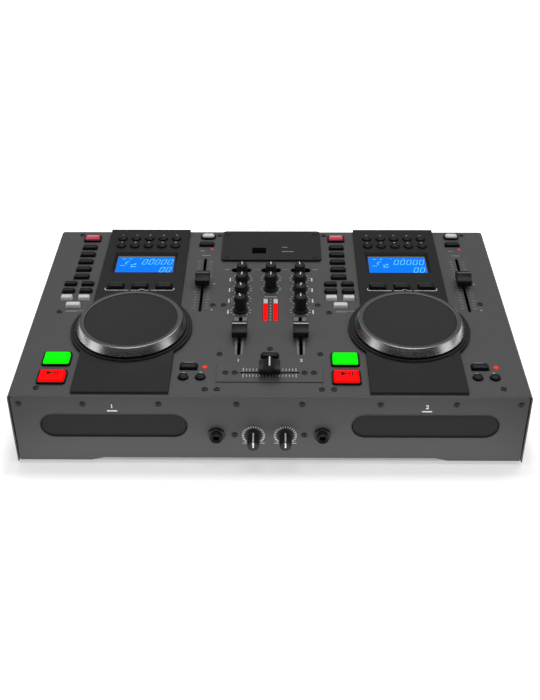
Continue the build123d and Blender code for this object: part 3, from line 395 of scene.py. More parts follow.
@dataclass(frozen=True)
class Palette:
    """Every finish of the unit, made once."""

    materials: dict[str, bpy.types.Material]

    @classmethod
    def mixed(cls) -> "Palette":
        """Makes the finishes.

        Returns:
            The palette.
        """
        recipes = [
            Coating("cover_coat", (0.080, 0.080, 0.082), 0.42, 0.07, 1600.0, 0.00005, 0.0008),
            Coating(
                "face_coat", (0.070, 0.070, 0.072), 0.44, 0.07, 1600.0, 0.00005, 0.0003, shine=0.1
            ),
            Coating("rear_coat", (0.060, 0.060, 0.062), 0.46, 0.07, 1600.0, 0.00005, 0.0003),
            *(
                Coating(name, (grey, grey, blue), 0.42, 0.10, 1900.0, 0.00005, 0.0005, shine=0.2)
                for name, grey, blue in (
                    ("plate_grain", 0.012, 0.0125), ("middle_grain", 0.018, 0.0185),
                )
            ),
            Coating("mat_rubber", (0.028, 0.028, 0.029), 0.62, 0.08, 2200.0, 0.00004, shine=0.2),
            Coating("key_black", (0.006, 0.006, 0.0065), 0.36, 0.15, 1700.0, 0.00002, shine=0.2),
            Coating("key_white", (0.74, 0.74, 0.73), 0.40, 0.04, 1300.0, 0.00002),
            Coating("knob_soft", (0.016, 0.016, 0.0165), 0.50, 0.12, 2300.0, 0.00003, shine=0.2),
            Coating("cap_black", (0.010, 0.010, 0.0105), 0.40, 0.12, 1900.0, 0.00003, shine=0.25),
            Coating("trim_gloss", (0.006, 0.006, 0.006), 0.25, 0.10, 1200.0, 0.00001),
            Coating(
                "tray_plastic", (0.015, 0.015, 0.0155), 0.35, 0.08, 1500.0, 0.00002, 0.0005,
                shine=0.1,
            ),
            Coating("ink_white", (0.74, 0.74, 0.74), 0.50, 0.04, 2600.0, 0.00001),
            Coating("ink_faint", (0.36, 0.36, 0.36), 0.50, 0.06, 2600.0, 0.00001),
            Coating("ink_dim", (0.20, 0.20, 0.20), 0.50, 0.06, 2600.0, 0.00001),
            Coating("ink_black", (0.004, 0.004, 0.004), 0.50, 0.06, 2600.0, 0.00001, shine=0.1),
            Coating("foot_rubber", (0.020, 0.020, 0.020), 0.75, 0.10, 1500.0, 0.00006),
            Coating("screw_black", (0.006, 0.006, 0.0065), 0.32, 0.12, 1800.0, 0.00002),
            Coating("glass_grey", (0.17, 0.16, 0.15), 0.30, 0.05, 900.0, 0.00001),
            Coating("socket_red", (0.45, 0.015, 0.012), 0.35, 0.06, 1500.0, 0.00002),
            Coating("board_green", (0.015, 0.11, 0.045), 0.35, 0.15, 700.0, 0.00005, 0.0, 0.3),
            Coating("board_dark", (0.004, 0.008, 0.006), 0.40, 0.15, 700.0, 0.00005, shine=0.1),
            BrushedMetal("nickel", (0.62, 0.61, 0.58), 0.28, (1.0, 1.0, 0.1)),
            BrushedMetal("zinc_sheet", (0.50, 0.51, 0.52), 0.40),
            Coating("blued_nut", (0.014, 0.014, 0.015), 0.34, 0.10, 1500.0, 0.00003),
            BrushedMetal("ring_satin", (0.11, 0.11, 0.113), 0.42, (1.0, 1.0, 1.0)),
            Lit("cue_lens", (0.0, 1.0, 0.0), 0.9, 0.6, 0.4, 0.05),
            Lit("play_lens", (1.0, 0.0, 0.0), 0.9, 0.6, 0.4, 0.05),
            Lit("eject_lens", (0.60, 0.05, 0.10), 0.16, 0.75, 0.15, 0.4),
            Lit("eject_bright", (0.85, 0.26, 0.30), 0.25, 0.85, 0.15, 0.4),
            Lit("screen_blue", (0.0, 0.17, 0.86), 0.85, 0.1, 0.3, 0.05),
            Lit("screen_text", (0.14, 0.66, 1.0), 0.75, 0.2, 0.3, 0.05),
            Lit("meter_red", (1.0, 0.0, 0.0), 0.85, 0.6, 0.4, 0.05),
            Lit("meter_clear", (0.66, 0.62, 0.60), 0.10, 0.8, 0.2),
            Lit("lamp_red", (0.85, 0.03, 0.01), 0.6),
        ]
        for side in Side:
            centre = UNIT.deck @ Vector((side.value, JOG_V, 0.0))
            name = f"jog_metal_{side.name.lower()}"
            recipes.append(TurnedMetal(name, (centre.x, centre.y), (0.50, 0.50, 0.51)))
        return cls({recipe.name: recipe.make() for recipe in recipes})

    def __getitem__(self, name: str) -> bpy.types.Material:
        """A finish by its name."""
        return self.materials[name]


# ---------------------------------------------------------------- shapes


class Side(Enum):
    """The two decks, by the place of their middle."""

    LEFT = -DECK_X
    RIGHT = DECK_X


class Outline(Enum):
    """The plan of a key."""

    SQUARE = 0.16
    OVAL = 0.499


def placed(origin: Sequence[float], x_dir: Sequence[float], z_dir: Sequence[float]) -> Matrix:
    """The matrix that takes the millimetres of a plane to metres in the row frame.

    Args:
        origin: the plane's origin, in metres.
        x_dir: its first axis.
        z_dir: the axis that points out of it.

    Returns:
        The matrix.
    """
    out = Vector(z_dir).normalized()
    right = Vector(x_dir).normalized()
    turn = Matrix((right, out.cross(right), out)).transposed().to_4x4()
    return Matrix.Translation(origin) @ turn @ Matrix.Scale(MM, 4)


class Unit:
    """The planes that the pieces are set out on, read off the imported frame."""

    def __init__(self) -> None:
        """Starts with no planes: measured() fills them in once the frame is loaded."""
        self.deck = Matrix.Identity(4)
        self.face = Matrix.Identity(4)
        self.back = Matrix.Identity(4)
        self.slope = 0.0
        self.front = 0.0
        self.foot = 0.0

    def measured(self) -> None:
        """Reads the cover's box and sets out the sloping top, the front and the back."""
        low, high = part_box("top_cover")
        self.front = low.y
        self.foot = low.z
        rise = high.z - low.z - FRONT_HEIGHT * MM
        self.slope = math.atan2(rise, high.y - low.y)
        up = (0.0, -math.sin(self.slope), math.cos(self.slope))
        self.deck = placed((0.0, low.y, low.z + FRONT_HEIGHT * MM), (1, 0, 0), up)
        self.face = placed((0.0, low.y, low.z), (1, 0, 0), (0, -1, 0))
        self.back = placed((0.0, high.y, low.z), (-1, 0, 0), (0, 1, 0))


UNIT = Unit()


class Shape:
    """A small mesh in millimetres, standing on its own origin."""

    def __init__(self) -> None:
        """Starts empty."""
        self.bm = bmesh.new()

    @classmethod
    def plate(cls, width: float, depth: float, corner: float = 0.0, steps: int = 5) -> "Shape":
        """A flat rectangle.

        Args:
            width: its size along x.
            depth: its size along y.
            corner: the radius of its corners.
            steps: the segments of each corner.

        Returns:
            The shape, one face.
        """
        shape = cls()
        made = bmesh.ops.create_grid(shape.bm, x_segments=1, y_segments=1, size=0.5)
        bmesh.ops.scale(shape.bm, vec=(width, depth, 1.0), verts=made["verts"])
        if corner > 0.0:
            bmesh.ops.bevel(
                shape.bm, geom=shape.bm.verts[:], offset=corner * 0.998, segments=steps,
                profile=0.5, affect="VERTICES", material=-1,
            )
        return shape

    @classmethod
    def disc(cls, radius: float, sides: int = 40) -> "Shape":
        """A flat disc."""
        shape = cls()
        bmesh.ops.create_circle(shape.bm, cap_ends=True, segments=sides, radius=radius)
        return shape

    @classmethod
    def outline(cls, points: Sequence[Pair]) -> "Shape":
        """A flat face with the given corners, anticlockwise."""
        shape = cls()
        shape.bm.faces.new([shape.bm.verts.new((x, y, 0.0)) for x, y in points])
        return shape

    @classmethod
    def turned(cls, profile: Sequence[Pair], steps: int = 64) -> "Shape":
        """A profile spun round the upright axis.

        Args:
            profile: points of radius and height.
            steps: the segments of the turn.

        Returns:
            The shape.
        """
        shape = cls()
        verts = [shape.bm.verts.new((radius, 0.0, height)) for radius, height in profile]
        edges = [shape.bm.edges.new(pair) for pair in zip(verts, verts[1:])]
        bmesh.ops.spin(
            shape.bm, geom=verts + edges, cent=(0, 0, 0), axis=(0, 0, 1),
            angle=2 * math.pi, steps=steps, use_merge=True,
        )
        bmesh.ops.remove_doubles(shape.bm, verts=shape.bm.verts[:], dist=0.0005)
        bmesh.ops.recalc_face_normals(shape.bm, faces=shape.bm.faces[:])
        return shape

    @classmethod
    def band(cls, inner: float, outer: float, start: float, end: float, steps: int = 24) -> "Shape":
        """A flat band along an arc.

        Args:
            inner: its smaller radius.
            outer: its larger radius.
            start: where it starts, in degrees from x.
            end: where it ends.
            steps: its segments.

        Returns:
            The shape.
        """
        shape = cls()
        turn = Matrix.Rotation(math.radians(start), 4, "Z")
        verts = [shape.bm.verts.new(turn @ Vector((r, 0.0, 0.0))) for r in (inner, outer)]
        edge = shape.bm.edges.new(verts)
        bmesh.ops.spin(
            shape.bm, geom=verts + [edge], cent=(0, 0, 0), axis=(0, 0, 1),
            angle=math.radians(end - start), steps=steps, use_merge=False,
        )
        return shape

    @classmethod
    def text(cls, words: str, height: float) -> "Shape":
        """Plain numerals, centred, as a flat mesh.

        Args:
            words: the numerals.
            height: their height.

        Returns:
            The shape.
        """
        curve = bpy.data.curves.new("numerals", "FONT")
        curve.body = words
        curve.size = height * 1.4
        curve.offset = 0.035 * height
        curve.align_x = "CENTER"
        curve.align_y = "CENTER"
        curve.resolution_u = 3
        holder = bpy.data.objects.new("numerals", curve)
        bpy.context.scene.collection.objects.link(holder)
        bpy.context.view_layer.update()
        mesh = bpy.data.meshes.new_from_object(holder)
        shape = cls()
        shape.bm.from_mesh(mesh)
        bmesh.ops.remove_doubles(shape.bm, verts=shape.bm.verts[:], dist=0.001)
        bpy.data.objects.remove(holder)
        bpy.data.meshes.remove(mesh)
        bpy.data.curves.remove(curve)
        return shape

    def raised(self, height: float, draft: float = 0.0) -> "Shape":
        """Extrudes the flat face upwards.

        Args:
            height: how far.
            draft: how much each side leans in.

        Returns:
            This shape.
        """
        made = bmesh.ops.extrude_face_region(self.bm, geom=self.bm.faces[:])
        top = [part for part in made["geom"] if isinstance(part, bmesh.types.BMVert)]
        bmesh.ops.translate(self.bm, vec=(0.0, 0.0, height), verts=top)
        if draft:
            self.draw_in(top, 2 * draft)
        bmesh.ops.recalc_face_normals(self.bm, faces=self.bm.faces[:])
        return self

    def draw_in(self, verts: list[bmesh.types.BMVert], less: float) -> None:
        """Draws vertices in towards their middle.

        Args:
            verts: the vertices.
            less: how much shorter what they span becomes, both ways.
        """
        width = max(v.co.x for v in verts) - min(v.co.x for v in verts)
        depth = max(v.co.y for v in verts) - min(v.co.y for v in verts)
        bmesh.ops.scale(self.bm, vec=(1 - less / width, 1 - less / depth, 1.0), verts=verts)

    def top(self) -> list[bmesh.types.BMFace]:
        """The faces that lie highest."""
        peak = max(face.calc_center_median().z for face in self.bm.faces)
        return [f for f in self.bm.faces if f.calc_center_median().z > peak - 0.001]

    def softened(self, edge: float, steps: int = 3) -> "Shape":
        """Rounds the rim of the top.

        Args:
            edge: the radius.
            steps: its segments.

        Returns:
            This shape.
        """
        top = self.top()
        rim = {e for f in top for e in f.edges if sum(g in top for g in e.link_faces) == 1}
        bmesh.ops.bevel(
            self.bm, geom=list(rim), offset=edge, segments=steps, profile=0.5,
            affect="EDGES", material=-1,
        )
        return self

    def crowned(self, margin: float, rise: float, rings: int = 2) -> "Shape":
        """Domes the top, or dishes it with a rise below zero.

        Args:
            margin: how far in each ring goes.
            rise: how high the middle comes.
            rings: the rings that the dome is made of.

        Returns:
            This shape.
        """
        for ring in range(rings):
            share = (rings - ring) / (rings * (rings + 1) / 2)
            top = self.top()
            made = bmesh.ops.extrude_face_region(self.bm, geom=top)
            bmesh.ops.delete(self.bm, geom=top, context="FACES_ONLY")
            inner = [part for part in made["geom"] if isinstance(part, bmesh.types.BMVert)]
            self.draw_in(inner, 2 * margin / rings)
            bmesh.ops.translate(self.bm, vec=(0.0, 0.0, rise * share), verts=inner)
        return self

    def recessed(self, margin: float, depth: float) -> "Shape":
        """Sinks the top within a margin.

        Args:
            margin: the width of the rim that is left.
            depth: how deep.

        Returns:
            This shape.
        """
        top = self.top()
        bmesh.ops.inset_region(self.bm, faces=top, thickness=margin, depth=0.0)
        made = bmesh.ops.extrude_face_region(self.bm, geom=top)
        floor = [part for part in made["geom"] if isinstance(part, bmesh.types.BMVert)]
        bmesh.ops.delete(self.bm, geom=top, context="FACES_ONLY")
        bmesh.ops.translate(self.bm, vec=(0.0, 0.0, -depth), verts=floor)
        return self

    def opened(self, margin: float) -> "Shape":
        """Takes the middle out of a flat face.

        Args:
            margin: the width of the rim that is left.

        Returns:
            This shape.
        """
        middle = self.bm.faces[:]
        bmesh.ops.inset_region(
            self.bm, faces=middle, thickness=margin, depth=0.0, use_boundary=True,
            use_even_offset=True,
        )
        bmesh.ops.delete(self.bm, geom=middle, context="FACES")
        return self

    def at(self, x: float, y: float, z: float = 0.0) -> "Shape":
        """Moves the shape."""
        bmesh.ops.translate(self.bm, vec=(x, y, z), verts=self.bm.verts[:])
        return self

    def spun(self, degrees: float, axis: str = "Z") -> "Shape":
        """Turns the shape about its origin."""
        turn = Matrix.Rotation(math.radians(degrees), 3, axis)
        bmesh.ops.rotate(self.bm, cent=(0, 0, 0), matrix=turn, verts=self.bm.verts[:])
        return self

    def fluted(self, waves: int, depth: float, power: int, beyond: float = 0.0) -> "Shape":
        """Cuts flutes into the rim.

        Args:
            waves: how many.
            depth: how deep, as a share of the radius.
            power: how narrow: 1 for a plain wave.
            beyond: the radius up to which nothing is cut.

        Returns:
            This shape.
        """
        for vert in self.bm.verts:
            if math.hypot(vert.co.x, vert.co.y) > beyond:
                wave = 0.5 - 0.5 * math.cos(waves * math.atan2(vert.co.y, vert.co.x))
                vert.co.xy *= 1.0 - depth * wave ** power
        return self

    def sheared(self, lean: float) -> "Shape":
        """Leans the shape towards x with y."""
        for vert in self.bm.verts:
            vert.co.x += lean * vert.co.y
        return self


class Piece:
    """One finished object, collected from shapes on one plane of the unit."""

    def __init__(self, name: str, plane: Matrix, palette: Palette) -> None:
        """Starts a piece.

        Args:
            name: the object's name.
            plane: the plane that its shapes lie on.
            palette: where its finishes come from.
        """
        self.name = name
        self.plane = plane
        self.palette = palette
        self.bm = bmesh.new()
        self.finishes: list[str] = []

    def add(self, shape: Shape, finish: str) -> None:
        """Adds a shape in a finish.

        Args:
            shape: the shape, used up by this.
            finish: the name of its finish.
        """
        if finish not in self.finishes:
            self.finishes.append(finish)
        for face in shape.bm.faces:
            face.material_index = self.finishes.index(finish)
        mesh = bpy.data.meshes.new("part")
        shape.bm.to_mesh(mesh)
        shape.bm.free()
        self.bm.from_mesh(mesh)
        bpy.data.meshes.remove(mesh)

    def mark(
        self, finish: str, size: Pair, place: Sequence[float], corner: float = 0.0
    ) -> None:
        """Adds a flat bar."""
        spot = (*place, INK_HEIGHT)[:3]
        self.add(Shape.plate(*size, corner, 2).at(*spot), finish)

    def moves(self, node: str, slot: str, smooth: float = 38.0) -> None:
        """Finishes a piece that stands for the one node of a moving body of the same name."""
        self.done(node, slot, node, smooth=smooth)

    def done(self, body: str, slot: str, *nodes: str, smooth: float = 38.0) -> None:
        """Makes the object, hangs it on the empty of the body that it moves with and hides the CAD
        nodes that it stands for.

        Args:
            body: the body that it moves with.
            slot: not used.
            nodes: the CAD nodes that it stands for.
            smooth: the edge angle up to which faces are shaded as one, in degrees.
        """
        mesh = bpy.data.meshes.new(self.name)
        self.bm.transform(self.plane)
        if self.plane.determinant() < 0:
            bmesh.ops.reverse_faces(self.bm, faces=self.bm.faces[:])
        self.bm.to_mesh(mesh)
        self.bm.free()
        mesh.shade_smooth()
        mesh.set_sharp_from_angle(angle=math.radians(smooth))
        for finish in self.finishes:
            mesh.materials.append(self.palette[finish])
        made = bpy.data.objects.new(self.name, mesh)
        bpy.context.scene.collection.objects.link(made)
        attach(made, body)
        if nodes:
            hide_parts(*nodes)
        LOG.info("%s: %d faces on %s", self.name, len(mesh.polygons), body)


def key_shape(kind: Outline, size: Pair, low: float, high: float, soft: float = 0.9) -> Shape:
    """A key cap with leaning sides, a soft rim and a low crown.

    Args:
        kind: its plan.
        size: width and depth.
        low: where it starts, below the sheet.
        high: its top.
        soft: the radius of its rim.

    Returns:
        The cap.
    """
    shape = Shape.plate(*size, min(size) * kind.value, 6)
    crown = min(size) * 0.18
    return shape.raised(high - low, 0.7).softened(soft, 4).crowned(crown, 0.18).at(0, 0, low)


def ring_shape(kind: Outline, size: Pair, lip: float, height: float) -> Shape:
    """A bezel round a key: a wall with a soft rim, open in the middle.

    Args:
        kind: the key's plan.
        size: the opening's width and depth.
        lip: the width of the rim.
        height: its height.

    Returns:
        The bezel.
    """
    outer = (size[0] + 2 * lip, size[1] + 2 * lip)
    shape = Shape.plate(*outer, min(outer) * kind.value * 0.9, 6).opened(lip - 0.6)
    return shape.raised(height, 0.35).softened(0.3, 2)


def arrow_shape(size: float, turn: float = 0.0) -> Shape:
    """A small solid triangle that points along x, or as far from it as it is turned."""
    return Shape.outline([(size, 0.0), (-size * 0.8, size), (-size * 0.8, -size)]).spun(turn)


def fader_cap(piece: Piece, x: float, v: float, turn: float, line: str) -> None:
    """A cap with hollowed flanks, a line along its ridge and a blade below.

    Args:
        piece: the piece that it joins.
        x: its place.
        v: its place.
        turn: how far it is turned on the top, in degrees.
        line: the finish of its line.
    """
    half, ridge, base, shoulder, top, sag = 10.0, 1.2, 4.2, 10.6, 14.7, 1.3
    flank = []
    for step in range(1, 12):
        share = step / 12
        drop = math.sin(share * math.pi) * sag
        reach = half + (ridge - half) * share - drop * 0.3
        flank.append((reach, shoulder + (top - shoulder) * share - drop))
    right = [(half, base), (half, shoulder), *flank, (ridge, top)]
    points = right + [(-a, b) for a, b in reversed(right)]
    body = Shape.outline(points).raised(15.0)
    rim = [e for e in body.bm.edges if e.calc_length() > 14.0 or e.is_manifold]
    sharp = [e for e in rim if e.calc_face_angle(0.0) > math.radians(40)]
    bmesh.ops.bevel(
        body.bm, geom=sharp, offset=0.35, segments=2, profile=0.5, affect="EDGES", material=-1
    )
    body.at(0.0, 0.0, -7.5).spun(90.0, "X").spun(90.0)
    stripe = Shape.plate(14.4, 1.3, 0.3, 2).at(0.0, 0.0, top + 0.02)
    blade = Shape.plate(1.4, 4.0).raised(base + 8.0).at(0.0, 0.0, -8.0)
    for shape, finish in ((body, "cap_black"), (stripe, line), (blade, "nickel")):
        piece.add(shape.spun(turn).at(x, v), finish)


def add_knob(piece: Piece, x: float, y: float, height: float, *pointers: Shape) -> None:
    """A knob: milled skirt, fluted grip, pointers and shaft.

    Args:
        piece: the piece that it joins.
        x: its place.
        y: its place.
        height: the top of the grip.
        pointers: the white lines on it, set out round the knob's own middle.
    """
    skirt = Shape.turned(
        [(0.0, 0.5), (7.2, 0.5), (7.5, 0.8), (7.5, 1.9), (7.2, 2.5), (6.4, 2.7), (0.0, 2.7)], 48
    )
    skirt.fluted(24, 0.035, 1, 7.0)
    grip = Shape.disc(5.9, 96).fluted(12, 0.075, 2)
    grip.raised(height - 2.4, 0.42).softened(0.5, 3).crowned(2.4, 0.15, 2).at(0.0, 0.0, 2.4)
    for shape in (skirt, grip):
        piece.add(shape.at(x, y), "knob_soft")
    for pointer in pointers:
        piece.add(pointer.at(x, y), "ink_white")
    piece.add(Shape.disc(3.0, 24).raised(8.0).at(x, y, -7.0), "nickel")


def knob_scale(
    piece: Piece, place: Sequence[float], ticks: int, sweep: float, size: Sequence[float]
) -> None:
    """Ticks in an arc round a knob.

    Args:
        piece: the piece that they join.
        place: the knob's middle.
        ticks: how many there are.
        sweep: how far the arc goes to either side, in degrees.
        size: what Shape.plate makes a tick from.
    """
    for tick in range(ticks):
        turn = sweep * (2 * tick / (ticks - 1) - 1)
        piece.add(Shape.plate(*size).at(0.0, 10.0).spun(turn).at(*place), "ink_white")


# ---------------------------------------------------------------- sub-assemblies


@dataclass
class Assembly:
    """Pieces that share the palette of finishes."""

    palette: Palette

    def piece(self, name: str, plane: Matrix | None = None) -> Piece:
        """Starts a piece on the sloping top, or on another plane."""
        return Piece(name, UNIT.deck if plane is None else plane, self.palette)

    def repaint(self, finish: str, *nodes: str) -> None:
        """Gives CAD nodes a finish.

        Args:
            finish: its name.
            nodes: the nodes.
        """
        for name in nodes:
            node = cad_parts[name]
            if not node.material_slots:
                node.data.materials.append(self.palette[finish])
            for slot in node.material_slots:
                slot.material = self.palette[finish]


@dataclass
class Cabinet(Assembly):
    """Cover, panels, plates, feet and screws."""

    screw_radius: float = 2.9
    screw_height: float = 0.9
    foot_radius: float = 9.0
    foot_height: float = 3.5

    def build(self) -> None:
        """Makes every piece."""
        self.repaint("cover_coat", "top_cover")
        self.repaint("face_coat", "front_panel")
        self.repaint("plate_grain", "deck_plate_left", "deck_plate_right")
        self.repaint("middle_grain", "usb_plate")
        self.repaint("cover_coat", "crossfader_plate")
        self.repaint("zinc_sheet", "base_tray")
        self.repaint("rear_coat", "rear_panel")
        self.feet()
        self.screws()

    def feet(self) -> None:
        """Four turned rubber feet, each hollowed for its screw."""
        low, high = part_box("rubber_feet")
        piece = self.piece("feet", Matrix.Scale(MM, 4))
        r, h = self.foot_radius, self.foot_height
        profile = [(0.0, 1.6), (2.6, 1.6), (2.9, 0.3), (3.3, 0.0), (r - 0.9, 0.0), (r - 0.25, 0.3)]
        profile += [(r, 0.9), (r, h - 0.3), (r - 0.4, h), (0.0, h)]
        for x in (low.x, high.x):
            for y in (low.y, high.y):
                centre = (x / MM - math.copysign(r, x), y / MM + (r if y == low.y else -r))
                piece.add(Shape.turned(profile, 40).at(*centre), "foot_rubber")
        piece.done("cabinet", "foot_rubber", "rubber_feet")

    def screw(self, piece: Piece, x: float, y: float, z: float, turn: float) -> None:
        """A pan head with a cross in it.

        Args:
            piece: the piece that it joins.
            x: its place.
            y: its place.
            z: the surface that it sits on.
            turn: how far its cross is turned, in degrees.
        """
        r, h = self.screw_radius, self.screw_height
        profile = [(r, 0.0), (r, h * 0.35), (r * 0.93, h * 0.66), (r * 0.75, h * 0.88)]
        profile += [(r * 0.45, h), (0.62, h), (0.42, h * 0.45), (0.0, h * 0.4)]
        piece.add(Shape.turned(profile, 28).at(x, y, z), "screw_black")
        for arm in (0.0, 90.0):
            bar = Shape.plate(r * 1.05, 0.55, 0.2, 2).spun(turn + arm)
            piece.add(bar.at(x, y, z + h + 0.01), "ink_black")

    def screws(self) -> None:
        """The screws of the top, the plates and the front."""
        top = [(216.0, 294.2), (-216.0, 294.2), (59.4, 293.4), (-59.4, 293.4), (-215.5, 136.8)]
        top += [(215.5, 152.0), (-59.6, 149.8), (59.6, 136.0), (48.5, 150.0), (-48.5, 150.0)]
        top += [(48.5, 64.2), (-48.5, 64.2), (0.0, 72.8), (215.5, 10.6), (-215.5, 10.6)]
        top += [(59.6, 9.3), (-59.6, 9.3), (48.4, 9.3), (-48.4, 9.3)]
        piece = self.piece("top_screws")
        for index, (x, v) in enumerate(top):
            self.screw(piece, x, v, 0.0, index * 37.0)
        for index, x in enumerate((-41.6, -32.8, 32.8, 41.6)):
            self.screw(piece, x, CROSS_V, CROSS_PLATE, index * 53.0)
        for x in (-48.5, 48.5):
            for v in (241.6, 293.6):
                self.screw(piece, x, v, MIDDLE_PLATE, x + v)
        piece.done("cabinet", "trim_black")
        front = [(x * side, 68.2) for x in (30.3, 102.3, 172.3, 231.4) for side in (-1, 1)]
        front += [(-32.7, 32.3), (32.7, 32.3)]
        piece = self.piece("front_screws", UNIT.face)
        for index, (x, z) in enumerate(front):
            self.screw(piece, x, z, FACE_SKIN, index * 29.0)
        piece.done("cabinet", "trim_black")


@dataclass
class Deck(Assembly):
    """One deck: jog wheel, display, keys, pitch fader and the marks printed round them."""

    side: Side = Side.LEFT
    jog_radius: float = 54.3
    jog_top_radius: float = 50.3
    mat_radius: float = 45.8
    number_pitch: float = 15.15
    loop_pitch: float = 25.3
    screen_v: float = 230.0
    key_top: float = 3.2
    tall_top: float = 3.8
    lens_top: float = 3.9
    key_u: float = -65.8
    play_v: float = 26.1
    cue_v: float = 54.2
    bend_u: Pair = (56.8, 72.9)
    fader_u: float = 65.5
    fader_v: float = 190.1
    plate_ink: float = PLATE + INK_HEIGHT

    @property
    def tag(self) -> str:
        """The side's name."""
        return self.side.name.lower()

    def build(self) -> None:
        """Makes every piece."""
        self.jog_wheel()
        self.display()
        self.plate_keys()
        self.cover_keys()
        self.tempo_keys()
        self.transport()
        self.bezels()
        self.pitch_fader()
        self.marks()

    def part(self, name: str) -> Piece:
        """Starts a piece of this side, whose places count from the deck's middle line."""
        plane = UNIT.deck @ Matrix.Translation((self.side.value, 0.0, 0.0))
        return self.piece(f"{name}_{self.tag}", plane)

    def cap(self, piece: Piece, size: Pair, place: Pair, soft: float, finish: str) -> None:
        """Adds a square key cap that comes up through the cover."""
        shape = key_shape(Outline.SQUARE, size, -1.0, self.key_top, soft)
        piece.add(shape.at(*place), finish)

    def jog_wheel(self) -> None:
        """The turned rim with its ring and mat, on a shaft with the encoder disc."""
        piece = self.part("jog")
        outer, ring, mat = self.jog_radius, self.jog_top_radius, self.mat_radius
        rim = [(4.0, 5.4), (outer - 1.0, 5.4), (outer - 0.15, 5.6), (outer, 6.2)]
        rim += [(outer - 0.6, 7.4), (ring + 0.5, 13.2), (ring + 0.15, 13.7), (ring - 0.2, 13.9)]
        lip = [(ring - 0.2, 13.9), (ring - 0.6, 14.0), (mat + 0.35, 14.0), (mat + 0.1, 13.9)]
        lip += [(mat, 13.6), (mat, 13.1)]
        pad = [(mat - 0.1, 13.1), (mat - 0.1, 13.35), (mat - 0.5, 13.6), (mat - 1.2, 13.65)]
        pad += [(mat - 1.6, 13.5), (0.0, 13.5)]
        shaft = [(0.0, 5.4), (4.0, 5.4), (4.0, -12.3), (18.0, -12.3), (18.0, -13.8), (0.0, -13.8)]
        for profile, steps, finish in (
            (rim, 160, f"jog_metal_{self.tag}"), (lip, 160, "ring_satin"),
            (pad, 160, "mat_rubber"), (shaft, 48, "nickel"),
        ):
            piece.add(Shape.turned(profile, steps).at(0.0, JOG_V), finish)
        piece.moves(f"jog_wheel_{self.tag}", "jog_metal", 24.0)

    def display(self) -> None:
        """The lit glass behind the sloping walls of its window."""
        piece = self.part("display")
        v, text = self.screen_v, -0.2
        piece.add(Shape.plate(68.0, 41.5, 0.6).raised(6.6).at(0.0, v, -7.0), "trim_gloss")
        piece.mark("glass_grey", (63.4, 36.9), (0.0, v, -0.35))
        piece.mark("screen_blue", (61.6, 33.2), (-0.1, v - 1.5, -0.28))
        for row, (right, middle, count) in enumerate(((26.9, 6.4, 5), (26.3, -9.6, 2))):
            for place in range(count):
                self.digit(piece, right - place * 6.9, v + middle - 0.9, text, row)
        for u, dv, width, depth in (
            (-24.5, 12.6, 4.0, 0.9), (-17.0, 12.6, 3.2, 0.9), (-24.8, -1.4, 5.2, 1.0),
            (-14.6, 0.2, 2.2, 1.6), (-11.2, 1.8, 2.4, 2.2), (-14.4, -3.4, 1.8, 2.4),
            (-11.4, -3.6, 3.4, 1.2), (8.0, 13.6, 2.0, 0.8), (-6.2, 12.9, 1.4, 0.8),
        ):
            icon = Shape.plate(width, depth).sheared(0.25)
            piece.add(icon.at(u, v + dv - 0.9, text), "screen_text")
        hook = Shape.band(2.6, 3.7, 90.0, 250.0, 10).sheared(0.25)
        piece.add(hook.at(-18.4, v + 3.6, text), "screen_text")
        piece.done("cabinet", "display", "display_modules")

    def digit(self, piece: Piece, u: float, v: float, height: float, row: int) -> None:
        """A zero of six leaning bars.

        Args:
            piece: the display.
            u: its middle.
            v: its middle.
            height: where its face lies.
            row: its row, which sets its breadth.
        """
        wide, tall, bar = 4.1 - 0.1 * row, 9.6, 0.85
        upright = (bar, tall / 2 - 0.6)
        for end in (1, -1):
            for du, dv, size in (
                (0.0, tall / 2, (wide, bar)), (-wide / 2, tall / 4, upright),
                (wide / 2, tall / 4, upright),
            ):
                segment = Shape.plate(*size, 0.4, 2).at(du, end * dv).sheared(0.22)
                piece.add(segment.at(u, v, height), "screen_text")

    def plate_keys(self) -> None:
        """Ten faceted number keys and the three loop keys, with what is printed by them."""
        keys, prints = self.part("numbers"), self.part("plate_marks")
        for row, line in enumerate((280.6, 264.8)):
            for column in range(5):
                u = (column - 2) * self.number_pitch
                cap = Shape.disc(5.3, 12).raised(3.7, 0.35).softened(0.5, 2).crowned(2.6, 1.5, 3)
                keys.add(cap.spun(15.0).at(u, line, 0.9), "key_black")
                digit = Shape.text(str((column + 1 + 5 * row) % 10), 2.7)
                prints.add(digit.at(u, line + 7.3, self.plate_ink), "ink_white")
        keys.moves(f"number_keys_{self.tag}", "key_black", 20.0)
        keys = self.part("loops")
        for step in (-1, 0, 1):
            u = step * self.loop_pitch
            cap = key_shape(Outline.SQUARE, (17.0, 8.6), 0.9, 6.2, 1.4)
            keys.add(cap.at(u, 180.0), "key_black")
            prints.mark("ink_faint", (12.6, 1.5), (u - 0.8, 187.0, self.plate_ink), 0.3)
        keys.moves(f"loop_keys_{self.tag}", "key_black")
        self.bracket(prints)
        prints.done("cabinet", "key_grey")

    def bracket(self, piece: Piece) -> None:
        """The white line that joins the three loop keys.

        Args:
            piece: the piece that it joins.
        """
        line, height = 173.0, self.plate_ink
        for start, end in ((-34.0, -11.4), (-8.8, -1.2), (6.0, 9.6), (12.0, 33.7)):
            piece.mark("ink_white", (end - start, 0.75), ((start + end) / 2, line, height))
        bump = Shape.band(2.9, 3.65, 20.0, 160.0, 12)
        piece.add(bump.at(2.4, line - 1.2, height), "ink_white")
        for end, start in ((-34.0, 180.0), (33.7, 270.0)):
            corner = Shape.band(1.9, 2.65, start, start + 90.0, 8)
            piece.add(corner.at(end, line + 2.28, height), "ink_white")
            tail = (end + math.copysign(2.28, end), line + 3.4, height)
            piece.mark("ink_white", (0.75, 2.4), tail)

